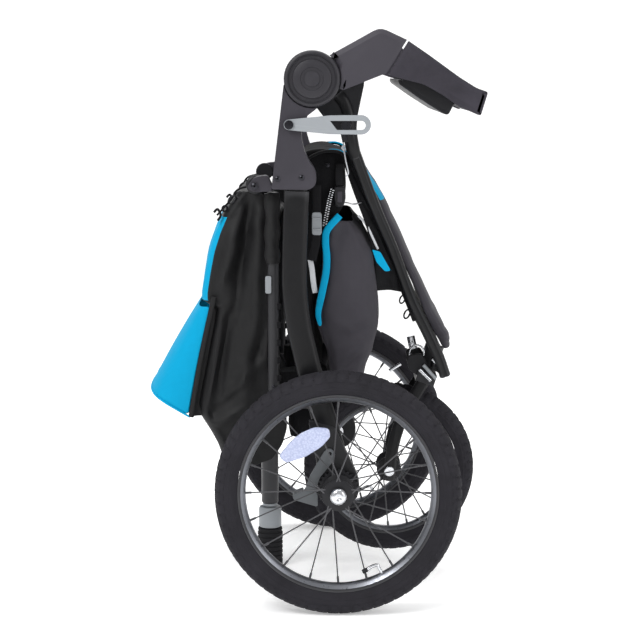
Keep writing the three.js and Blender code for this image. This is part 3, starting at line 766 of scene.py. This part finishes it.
# ---- soft goods ----
def between(points, value, key=1):
    """Reads a line of (x, z) points at a height (key 1) or a share of its length (key 0)."""
    if key == 1:
        ordered = sorted(points, key=lambda p: p[1])
        value = min(max(value, ordered[0][1]), ordered[-1][1])
        for a, b in zip(ordered, ordered[1:]):
            if value <= b[1]:
                t = (value - a[1]) / max(b[1] - a[1], 1e-6)
                t = t * t * (3 - 2 * t) * 0.5 + t * 0.5
                return a[0] + (b[0] - a[0]) * t
        return ordered[-1][0]
    at = value * (len(points) - 1)
    i = min(int(at), len(points) - 2)
    return Vector(points[i]).lerp(Vector(points[i + 1]), at - i)


def crease(x, z, lines):
    """Height of soft folds: each line is (start, end, width, height)."""
    total = 0
    for (x0, z0), (x1, z1), width, height in lines:
        a, d, p = Vector((x0, z0)), Vector((x1 - x0, z1 - z0)), Vector((x, z))
        t = max(0, min(1, (p - a).dot(d) / d.length_squared))
        gap = (p - a - d * t).length
        fade = 0.35 + 0.65 * math.sin(math.pi * min(max(t, 0.02), 0.98))
        total += height * fade * math.exp(-(gap / width) ** 2)
    return total


def ripple(x, y, z, size, amount, seed=0):
    return amount * noise.noise(Vector((x / size + seed, y / size, z / size)))


def solidify(piece, thickness, offset=-1):
    modifier = piece.modifiers.new("cloth thickness", "SOLIDIFY")
    modifier.thickness = thickness * MM
    modifier.offset = offset
    return piece


HOOD_HALF = 184
HOOD_OUTER = [(-146, 689), (-166, 690), (-180, 672), (-193, 652), (-206, 622), (-217, 588), (-224, 552),
              (-229, 520), (-229, 508), (-220, 501), (-208, 494), (-211, 470), (-219, 430), (-229, 380),
              (-239, 330), (-232, 308), (-219, 288), (-205, 262), (-196, 236), (-190, 214)]
HOOD_INNER = [(-123, 684), (-122, 676), (-121, 662), (-120, 645), (-119, 618), (-118, 588), (-118, 552),
              (-118, 520), (-118, 508), (-118, 500), (-118, 490), (-118, 462), (-119, 425), (-119, 396),
              (-112, 368), (-98, 345), (-87, 318), (-86, 290), (-94, 262), (-112, 236)]
HOOD_FOLDS = [((-146, 672), (-176, 470), 8, -13), ((-130, 655), (-140, 430), 9, 8),
              ((-176, 640), (-198, 520), 7, 10), ((-160, 660), (-190, 540), 6, 9),
              ((-196, 492), (-222, 330), 7, 13), ((-184, 480), (-206, 330), 6, -14),
              ((-150, 450), (-158, 330), 12, 6), ((-136, 400), (-205, 318), 8, 9),
              ((-122, 470), (-146, 380), 7, -9), ((-160, 360), (-228, 300), 6, -11),
              ((-150, 330), (-215, 290), 6, 8), ((-160, 610), (-186, 560), 6, 7)]


def hood_rows(steps):
    rows = []
    for k in range(steps + 1):
        share = k / steps
        inner = between(HOOD_INNER, share, 0)
        outer = between(HOOD_OUTER, share, 0)
        reach = abs(inner.x - outer.x)
        turn = min(20, reach * 0.4)
        row = []
        for i in range(13):
            t = i / 12
            x = inner.x + (outer.x + turn - inner.x) * t
            z = inner.y + (outer.y - inner.y) * t
            puff = 4 * math.sin(math.pi * t) * math.sin(math.pi * min(share * 1.2, 1))
            side_y = HOOD_HALF - 6 + puff * 0.4 + crease(x, z, HOOD_FOLDS) * 1.15 + ripple(x, 0, z, 24, 3.2)
            row.append((x, -min(side_y, HOOD_HALF + 9), z))
        for i in range(1, 6):
            a = math.pi / 2 * i / 6
            row.append((outer.x + turn - turn * math.sin(a), -(HOOD_HALF - 3 - turn + turn * math.cos(a)),
                        outer.y))
        half = HOOD_HALF - 3 - turn
        tail = max(0, (300 - outer.y) / 86)
        for i in range(25):
            y = -half + 2 * half * i / 24
            bulge = 7 * (1 - (y / half) ** 2) * math.sin(math.pi * min(1, share * 1.6))
            sag = ripple(outer.x, y, outer.y, 55, 3.0, 4)
            lift = 46 * tail * (1 - abs(y / half) ** 4)
            row.append((outer.x - bulge * (1 - tail) + sag, y, outer.y + lift))
        mirror = [(x, -y, z) for x, y, z in reversed(row[:18])]
        rows.append(row + mirror)
    return rows


def canopy_hood():
    rows = hood_rows(84)
    verts = [p for row in rows for p in row]

    def teal_band(p):
        return 1 if 507 < p.z < 648 and p.x < between(HOOD_OUTER[2:9], p.z) + 10 else 0
    hood = build("canopy_hood_sheet", verts, grid_faces(len(rows), len(rows[0])), (BLACK_CLOTH, TEAL), CANOPY,
                 60, teal_band)
    solidify(hood, 1.6)
    subdivide(hood)
    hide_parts("canopy_hood")


VISOR_SQUARENESS = 4.5


def visor_point(u, v, out=0.0):
    across = math.sin((u - 0.5) * math.pi)
    bulge = max(0, 1 - abs(across) ** VISOR_SQUARENESS) ** (1 / VISOR_SQUARENESS)
    top = Vector((-214 - 24 * bulge, 498))
    low = Vector((-251 - 73 * bulge, 310 + 42 * bulge))
    point = top.lerp(low, v)
    point.x -= 2 * math.sin(math.pi * v) + out
    wave = ripple(point.x, 184 * across, point.y, 70, 2.0, 9) * v * bulge
    return (point.x + wave, 184 * across, point.y)


def canopy_visor():
    columns, rows = 41, 17
    verts = [visor_point(i / (columns - 1), j / (rows - 1)) for j in range(rows) for i in range(columns)]
    visor = build("canopy_visor_sheet", verts, grid_faces(rows, columns), TEAL, CANOPY, 60)
    solidify(visor, 2.4)
    subdivide(visor)
    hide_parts("canopy_visor")
    for edge, name in ((0.0, "right"), (1.0, "left")):
        path = [Vector(visor_point(edge, k / 12)) + Vector((3, 0, 0)) for k in range(-1, 13)]
        swept("visor_binding_" + name, path, oval(5, 9, 12), BLACK_CLOTH, CANOPY, 3)
        web = []
        for k in range(17):
            start = Vector(visor_point(edge, k / 16))
            sign = -1 if edge == 0.0 else 1
            end = Vector((between(HOOD_OUTER[10:16], start.z) + 8, sign * (HOOD_HALF - 9), start.z))
            for i in range(6):
                point = start.lerp(end, i / 5)
                point.y = sign * (abs(point.y) - 3 - 5 * math.sin(i / 5 * math.pi))
                web.append(tuple(point))
        lining = build("visor_web_" + name, web, grid_faces(17, 6), BLACK_CLOTH, CANOPY, 60)
        solidify(lining, 1.2, 0)
    rim = [Vector(visor_point(k / 40, 1.0)) + Vector((1, 0, 0)) for k in range(41)]
    swept("visor_rim_welt", rim, oval(3.4, 3.4, 10), TEAL, CANOPY, 2, (0.3, 0, 1))


canopy_hood()
canopy_visor()


PAD_PRESSURE = 4.0


def inflated(node, name, material, body, voxel, cap, shrink):
    """A pad grown from its CAD solid by cloth pressure, each point moving no further than cap."""
    mesh = bpy.data.objects[node].data.copy()
    mesh.materials.clear()
    low, high = (Vector(v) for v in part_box(node))
    size = high - low
    middle_point = (low + high) / 2
    for v in mesh.vertices:
        for axis in range(3):
            scale = (size[axis] - 2 * shrink * MM) / size[axis]
            v.co[axis] = middle_point[axis] + (v.co[axis] - middle_point[axis]) * scale
    piece = bpy.data.objects.new(name, mesh)
    bpy.context.scene.collection.objects.link(piece)
    bpy.context.view_layer.objects.active = piece
    remesh = piece.modifiers.new("remesh", "REMESH")
    remesh.mode = "VOXEL"
    remesh.voxel_size = voxel * MM
    bpy.ops.object.select_all(action="DESELECT")
    piece.select_set(True)
    bpy.ops.object.modifier_apply(modifier="remesh")
    rest = [v.co.copy() for v in piece.data.vertices]
    cloth = piece.modifiers.new("cloth", "CLOTH")
    cloth.settings.use_pressure = True
    cloth.settings.uniform_pressure_force = PAD_PRESSURE
    cloth.settings.effector_weights.gravity = 0
    for number in range(1, 21):
        bpy.context.scene.frame_set(number)
    bpy.context.view_layer.update()
    shaped = piece.evaluated_get(bpy.context.evaluated_depsgraph_get()).data
    moved = [v.co.copy() for v in shaped.vertices]
    piece.modifiers.remove(cloth)
    bpy.context.scene.frame_set(1)
    for v, before, after in zip(piece.data.vertices, rest, moved):
        shift = after - before
        if shift.length > cap * MM:
            shift *= cap * MM / shift.length
        v.co = before + shift
    piece.data.materials.append(material)
    for face in piece.data.polygons:
        face.use_smooth = True
    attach(piece, body)
    subdivide(piece)
    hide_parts(node)
    return piece


inflated("seat_cushion", "seat_cushion_pad", SEAT_CLOTH, REAR, 6, 9, 8)

BASKET_LEFT = [(-6, 357), (-15, 392), (-18, 415), (-27, 439), (-35, 465), (-38, 488), (-31, 524), (-25, 556),
               (-24, 582), (-26, 606), (-23, 626), (-8, 642)]
BASKET_RIGHT = [(34, 357), (44, 392), (57, 426), (66, 470), (66, 500), (58, 584), (42, 616), (22, 641)]
BASKET_HALF = 181
BASKET_FOLDS = [((50, 440), (10, 400), 7, 4), ((60, 470), (-10, 430), 9, -4), ((40, 420), (0, 380), 6, -4),
                ((-10, 600), (20, 520), 14, 3), ((30, 610), (50, 560), 9, 2.5), ((-20, 480), (30, 455), 8, 3),
                ((10, 640), (-6, 590), 8, -3), ((50, 400), (20, 370), 6, 3)]


def storage_basket():
    rows = []
    corner = 13
    for k in range(49):
        z = 357 + (641 - 357) * k / 48
        left, right = between(BASKET_LEFT, z), between(BASKET_RIGHT, z)
        turn = min(corner, (right - left) * 0.45)
        bulge = 6 * math.sin(math.pi * (z - 350) / 300)
        loop = []
        for i in range(21):
            t = i / 20
            x = left + turn * 0.2 + (right - left - turn * 0.4) * t
            dome = bulge * math.sin(math.pi * t) ** 0.7 - turn * (1 - min(1, min(t, 1 - t) * 6)) * 0.6
            y = BASKET_HALF - 4 + dome + crease(x, z, BASKET_FOLDS) + ripple(x, 1, z, 22, 1.6, 2)
            loop.append((x, -min(y, BASKET_HALF + 6), z))
        for i in range(1, 20):
            y = -BASKET_HALF + 8 + (2 * BASKET_HALF - 16) * i / 20
            loop.append((right + 2 + ripple(right, y, z, 50, 3, 7), y, z + 2 * math.cos(y / 40)))
        loop += [(x, -y, zz) for x, y, zz in reversed(loop[:21])]
        for i in range(1, 20):
            y = BASKET_HALF - 8 - (2 * BASKET_HALF - 16) * i / 20
            loop.append((left - 2 + ripple(left, y, z, 50, 3, 11), y, z - 3 * math.cos(y / 60)))
        rows.append(loop)
    count = len(rows[0])
    verts = [p for row in rows for p in row]
    faces = grid_faces(len(rows), count, False, True)
    centre = len(verts)
    verts.append((14, 0, 352))
    faces += [(centre, (j + 1) % count, j) for j in range(count)]

    basket = build("storage_basket_bag", verts, faces, PANEL_CLOTH, REAR, 60)
    solidify(basket, 1.5)
    subdivide(basket)
    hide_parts("storage_basket")
    for label, side in SIDES:
        edge = [(x + 4.5, (BASKET_HALF - 1) * side, z) for x, z in BASKET_LEFT if z > 440]
        edge[-1] = (2, (BASKET_HALF - 4) * side, 650)
        swept("basket_stripe_" + label, edge, lambda t: oval(5, 4 + 8 * min(1, t * 4) ** 0.5, 20, 0.7), TEAL,
              REAR, 8)


storage_basket()

REST_OUTER = [(36, 737), (60, 700), (80, 667), (103, 615), (126, 564), (150, 512), (168, 476), (180, 452),
              (191, 432), (195, 418), (195, 404)]
REST_INNER = [(26, 733), (46, 698), (64, 664), (87, 612), (111, 562), (134, 512), (146, 476), (158, 454),
              (168, 434), (177, 420), (186, 404)]


def leg_rest():
    rows, columns = 45, 21
    verts = []
    for line, sign in ((REST_OUTER, 1), (REST_INNER, -1)):
        for j in range(rows):
            share = j / (rows - 1)
            point = between(line, share, 0)
            half = 164 + (36 - 164) * share
            for i in range(columns):
                u = -1 + 2 * i / (columns - 1)
                crown = (1 - abs(u) ** 3) * 3 if sign > 0 else 0
                channel = -2.2 * math.exp(-((share * 6 % 1 - 0.5) / 0.09) ** 2) if sign > 0 else 0
                pull = 0 if sign < 0 else -5 * abs(u) ** 8
                x = point.x + crown + channel + pull + ripple(point.x, u * 40, point.y, 30, 1.6, 3)
                verts.append((x, half * u, point.y))
    size = rows * columns
    faces = grid_faces(rows, columns)
    faces += [tuple(size + k for k in face)[::-1] for face in grid_faces(rows, columns)]
    rim = list(range(columns)) + [j * columns + columns - 1 for j in range(1, rows)]
    rim += [(rows - 1) * columns + i for i in range(columns - 2, -1, -1)]
    rim += [j * columns for j in range(rows - 2, 0, -1)]
    for a, b in zip(rim, rim[1:] + rim[:1]):
        faces.append((a, b, size + b, size + a))

    def teal_accent(p):
        return 1 if 672 < p.z < 727 and p.x > between(REST_INNER, p.z) + 6 and abs(p.y) > 60 else 0
    pad = build("leg_rest_pad", verts, faces, (PANEL_CLOTH, TEAL), FRONT, 60, teal_accent)
    subdivide(pad)
    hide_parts("leg_rest")


leg_rest()

# ---- fabric between the frames, trims and straps ----
def cloth_strip(name, points, width, thickness, material, body=REAR, steps=5):
    """A flat strap along a route, width across the stroller."""
    return swept(name, points, oval(width, thickness, 16, 0.6), material, body, steps)


def strap_pair(name, points, width, thickness, material=BLACK_WEB, body=REAR):
    """The same strap on the right and on the left."""
    for label, side in SIDES:
        route = [(x, y * side, z) for x, y, z in points]
        cloth_strip(f"{name}_{label}", route, width, thickness, material, body)


def gusset(label, side):
    """Fabric from the basket's edge to the front tube, gathered, left on no body."""
    frame_edge = [(4, 172, 748), (24, 171, 690), (46, 167, 630), (60, 160, 572), (64, 152, 520)]
    tube_edge = [(30, 181, 748), (48, 166, 690), (74, 146, 630), (97, 124, 568), (119, 104, 508)]
    inner = smooth_path(frame_edge, 9)
    outer = smooth_path(tube_edge, 9)
    verts = []
    for start, end in zip(inner, outer):
        for i in range(15):
            t = i / 14
            point = start.lerp(end, t)
            gather = 5 * math.sin(t * 9 + point.z * 0.05) * math.sin(math.pi * t)
            gather = gather + ripple(point.x, 0, point.z, 24, 5, side)
            verts.append((point.x, (point.y - abs(gather)) * side, point.z + 4 * math.sin(t * math.pi)))
    piece = build("seat_gusset_" + label, verts, grid_faces(len(inner), 15), SEAT_CLOTH, None, 60)
    solidify(piece, 1.4, 0)
    subdivide(piece)
    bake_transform(piece)


def seat_skirt():
    """Loose seat fabric that hangs in folds between the legs and the basket."""
    left = [(-70, 655), (-66, 600), (-64, 540), (-62, 480), (-56, 430), (-50, 396)]
    right = [(-22, 655), (-26, 620), (-26, 575), (-33, 528), (-40, 486), (-37, 448), (-29, 412), (-26, 396)]
    rows, loop = 40, 84
    verts = []
    for k in range(rows):
        z = 655 - (655 - 396) * k / (rows - 1)
        x0, x1 = between(left, z), between(right, z)
        for a in around(loop):
            c, q = math.cos(a), math.sin(a)
            x = (x0 + x1) / 2 + (x1 - x0) / 2 * math.copysign(abs(c) ** 0.7, c)
            y = 166 * math.copysign(abs(q) ** 0.35, q)
            fold = ripple(x, y, z, 20, 3.4, 5) + 2.2 * math.sin(z * 0.09 + y * 0.02)
            verts.append((x + fold * c * 0.6, y + fold * math.copysign(1, q) * abs(q) ** 0.5, z))
    faces = grid_faces(rows, loop, False, True)
    faces.append(tuple(range(loop)))
    faces.append(tuple(range((rows - 1) * loop, rows * loop))[::-1])
    piece = build("seat_skirt_folds", verts, faces, SEAT_CLOTH, REAR, 60)
    subdivide(piece)


def zip_teeth(name, points, y, body):
    """A short open zip: a dark tape with bright teeth along it."""
    route = smooth_path([(x, y, z) for x, z in points], 10)
    cloth_strip(name + "_tape", [(x, y + 1.5, z) for x, z in points], 9, 1.4, BLACK_WEB, body)
    parts = []
    for i, point in enumerate(route):
        shift = Vector((1.8 if i % 2 else -1.8, 0, 0))
        parts.append(rod(point + shift - Vector((1.6, 0, 0)), point + shift + Vector((1.6, 0, 0)), 1.1, 6))
    verts, faces = join_meshes(parts)
    build(name + "_teeth", verts, faces, CHROME, body)


def slide_adjuster(name, centre, body):
    """A three-bar strap adjuster in grey plastic on a black strap."""
    x, y, z = centre
    outline = [(x - 8, z - 19, 5), (x + 8, z - 19, 5), (x + 8, z + 19, 5), (x - 8, z + 19, 5)]
    prism(name, outline, y - 2.5, y + 2.5, GREY, body, 1.4, 3)
    for i in (-1, 1):
        rod_piece(f"{name}_bar_{i + 1}", (x - 7, y - 3, z + 9 * i), (x + 7, y - 3, z + 9 * i), 1.6, 10, GREY,
                  body)


def side_buckle(name, centre, body):
    """A side-release buckle hanging on its strap."""
    x, y, z = centre
    shell = [(x - 9, z + 16, 4), (x + 9, z + 16, 4), (x + 10, z - 4, 5), (x + 6, z - 18, 5),
             (x - 6, z - 18, 5), (x - 10, z - 4, 5)]
    prism(name + "_shell", shell, y - 5, y + 5, DARK_PLASTIC, body, 2.4, 3)
    prism(name + "_latch", [(x - 4, z + 8, 2), (x + 4, z + 8, 2), (x + 4, z - 10, 2), (x - 4, z - 10, 2)],
          y - 6.2, y - 4.6, CHARCOAL, body, 0.6)


def ring(name, centre, radius, wire, material, body, tilt, squeeze=1.0, angle=0.0):
    """A wire loop about the tilt axis, squeezed to an oval and turned in its plane."""
    axis = Vector(tilt).normalized()
    first = axis.cross(Vector((0, 0, 1)) if abs(axis.z) < 0.9 else Vector((1, 0, 0))).normalized()
    second = axis.cross(first)
    a_dir = first * math.cos(angle) + second * math.sin(angle)
    b_dir = second * math.cos(angle) - first * math.sin(angle)
    verts = []
    for a in around(36):
        out = a_dir * math.cos(a) * squeeze + b_dir * math.sin(a)
        for b in around(10):
            point = Vector(centre) + out * radius
            point = point + out.normalized() * wire * math.cos(b) + axis * wire * math.sin(b)
            verts.append(tuple(point))
    return build(name, verts, grid_faces(36, 10, True, True), material, body, 60)


for label, side in SIDES:
    gusset(label, side)
    slide_adjuster("strap_adjuster_" + label, (-36, 188 * side, 637), REAR)
    zip_teeth("seat_zip_" + label, [(-10, 694), (-15, 675), (-19, 655), (-23, 634)], 183 * side, REAR)
    screw("seat_screw_" + label, -18, 180 * side, 733, side, REAR, 3.4)
seat_skirt()
# shoulder strap over the top of the seat, with its teal edge
strap_pair("shoulder_strap", [(-60, 172, 736), (-44, 172, 748), (-26, 172, 755), (-6, 172, 756),
                              (8, 172, 750), (13, 172, 734)], 18, 5)
strap_pair("shoulder_edge", [(-22, 160, 756), (-7, 160, 758), (8, 160, 753), (14, 160, 740)], 8, 3, TEAL)
strap_pair("seat_strap", [(-36, 183, 700), (-36, 185, 660), (-37, 186, 610), (-44, 182, 575)], 3, 14)
strap_pair("harness_web", [(-47, 178, 576), (-44, 180, 560), (-42, 179, 540), (-39, 174, 520)], 2.4, 9,
           PALE_CLOTH)
roll = swept("seat_top_roll", [(-18, y, 741 + ripple(0, y, 0, 40, 3)) for y in range(-168, 169, 24)],
             oval(28, 64, 24), SEAT_CLOTH, REAR, 3, (0, 0, 1))
for label, side in SIDES:
    tail = [(-60, 138 * side, 386), (-57, 137 * side, 350), (-52, 136 * side, 310), (-56, 134 * side, 268)]
    fold = swept("seat_tail_" + label, tail, lambda t: oval(50 - 16 * t,
                                                            80 + 5 * math.sin(9 * t) - 30 * t * t, 28, 0.7),
                 SEAT_CLOTH, REAR, 8)
side_buckle("harness_buckle", (2, -176, 682), REAR)
cloth_strip("harness_buckle_web", [(2, -174, 735), (1, -177, 715), (2, -178, 700)], 3, 13, BLACK_WEB, REAR)
cloth_strip("care_label", [(8, -165, 671), (16, -168, 670), (24, -166, 668), (31, -160, 669)], 22, 0.8,
            PALE_CLOTH, REAR)
cloth_strip("basket_piping", [(33, -160, 648), (46, -162, 634), (57, -160, 612), (66, -154, 592)], 5, 4,
            PALE_CLOTH, REAR)
cloth_strip("seat_cord", [(7, -186, 776), (9, -187, 757), (12, -187, 740), (16, -186, 721), (12, -186, 715)],
            2.2, 2.2, PALE_CLOTH, REAR)
ring("seat_cord_knot", (9, -187, 762), 3.2, 1.6, PALE_CLOTH, REAR, (0.3, 1, 0.2))
wedge = [(56, 592, 3), (70, 588, 3), (88, 556, 4), (78, 555, 3), (64, 570, 3)]
prism("gusset_accent", wedge, -166, -163.5, TEAL, REAR, 0.8)

# rail sleeve, grey patch, hooks and end screw
for label, side in SIDES:
    y = 198 * side
    sleeve = [(-110, y, 688), (-109, y, 640), (-110, y, 600), (-108, y, 572)]
    swept("rail_sleeve_" + label, sleeve, lambda t: oval(24 + 2 * math.sin(t * 21),
                                                         25 + 2.4 * math.sin(t * 17), 20), BLACK_CLOTH, REAR,
          8)
    prism("rail_patch_" + label, [(-121, 523, 3), (-111, 523, 3), (-111, 552, 3), (-121, 552, 3)], 208 * side,
          210 * side, GREY, REAR, 0.6)
    for i in range(5):
        z = 500 - 30 * i
        prism(f"rail_hook_{label}_{i}", [(-102, z - 6, 2), (-95.5, z - 4, 2), (-95.5, z + 4, 2),
                                         (-102, z + 6, 2)], 195 * side, 205 * side, BLACK_WEB, REAR, 1)
    screw("rail_end_screw_" + label, -108, 207 * side, 366, side, REAR, 3.4)

# canopy tie at the upper rear edge
for label, side in SIDES:
    y = 176 * side
    ring("canopy_clip_loop_" + label, (-177, y, 676), 8, 1.6, DARK_PLASTIC, CANOPY, (0.1, 1, 0.1), 0.55, 0.75)
    ring("canopy_clip_gate_" + label, (-165, y, 684), 7, 1.5, DARK_PLASTIC, CANOPY, (0.2, 1, 0), 0.6, 1.2)
    ring("canopy_clip_eye_" + label, (-189, y, 661), 5, 1.8, BLACK_WEB, CANOPY, (0.2, 1, 0.3), 0.8, 0.4)
strap_pair("canopy_tie_cord", [(-150, 176, 698), (-168, 176, 692), (-178, 176, 677), (-192, 176, 661),
                               (-202, 176, 650)], 3.4, 3.4, BLACK_WEB, CANOPY)
strap_pair("canopy_tie", [(-207, 176, 655), (-201, 176, 660), (-196, 176, 650), (-201, 176, 641)], 8, 4,
           BLACK_WEB, CANOPY)

# pads and strap loop on the front tube's inner side
strap_pair("front_pad", [(104, 112, 532), (113, 104, 508), (121, 98, 488), (131, 92, 462)], 9, 7, BLACK_WEB,
           FRONT)
for label, side in SIDES:
    ring("front_strap_loop_" + label, (118, 100 * side, 474), 8, 1.6, BLACK_WEB, FRONT, (0.1, 1, 0), 0.55,
         0.4)

# swivel lock, quick release and parking strut about the front head
ring("swivel_lock_ring", (139, -30, 396), 13.5, 1.7, CHROME, FRONT, (0.15, 1, 0.1), 0.92, 0.4)
for k, (a, b) in enumerate((((150, 376), (172, 352)), ((143, 368), (163, 348)), ((110, 378), (90, 366)))):
    look = CHROME if k else GREY
    rod_piece(f"swivel_lever_{k}", (a[0], -44, a[1]), (b[0], -46, b[1]), 3.2, 12, look, FRONT)
for label, side in SIDES:
    rod_piece("head_strut_" + label, (166, 44 * side, 386), (191, 40 * side, 359), 3, 12, CHROME, FRONT)
    prism("head_cheek_" + label, [(122, 392, 6), (148, 396, 6), (160, 372, 6), (146, 352, 6), (124, 366, 6)],
          33 * side, 38 * side, DARK_PLASTIC, FRONT, 1.6)

# ---- stage ----
FLOOR_SIZE = 9.0
BACKDROP_AT = 8.2
BACKDROP_TOP = 7.0
CURVE = 0.8


def make_stage():
    material = Recipe("floor_paper", srgb(252, 252, 252), 0.9, Emission_Color=(1, 1, 1, 1),
                      Emission_Strength=0.3).material
    floor = bpy.data.meshes.new("floor")
    rows = [(-FLOOR_SIZE, 0.0)]
    rows += [(BACKDROP_AT - CURVE + CURVE * math.sin(a * math.pi / 16),
              CURVE - CURVE * math.cos(a * math.pi / 16)) for a in range(9)]
    rows.append((BACKDROP_AT, BACKDROP_TOP))
    low = CAD_LOW[2]
    verts = [(x, y, low + z) for y, z in rows for x in (-FLOOR_SIZE, FLOOR_SIZE)]
    floor.from_pydata(verts, [], [(2 * i, 2 * i + 1, 2 * i + 3, 2 * i + 2) for i in range(len(rows) - 1)])
    for face in floor.polygons:
        face.use_smooth = True
    stage = bpy.data.objects.new("floor", floor)
    stage.data.materials.append(material)
    bpy.context.scene.collection.objects.link(stage)


def area_light(name, position, target, size, power):
    data = bpy.data.lights.new(name, "AREA")
    data.shape = "RECTANGLE"
    data.size, data.size_y = size
    data.energy = power
    lamp = bpy.data.objects.new(name, data)
    bpy.context.scene.collection.objects.link(lamp)
    lamp.location = place(*position)
    lamp.rotation_euler = (place(*target) - lamp.location).to_track_quat("-Z", "Y").to_euler()


def make_light():
    bpy.context.scene.view_settings.view_transform = "Standard"
    world = bpy.data.worlds.new("studio")
    bpy.context.scene.world = world
    world.use_nodes = True
    world.node_tree.nodes["Background"].inputs["Color"].default_value = (1, 1, 1, 1)
    world.node_tree.nodes["Background"].inputs["Strength"].default_value = 0.6
    area_light("key", (-1500, -1900, 2400), (0, 0, 450), (1.1, 1.1), 50)
    area_light("fill", (2100, -1700, 1300), (0, 0, 450), (1.0, 1.6), 20)
    area_light("top", (0, 300, 2800), (0, 0, 400), (2.4, 2.0), 44)


make_stage()
make_light()
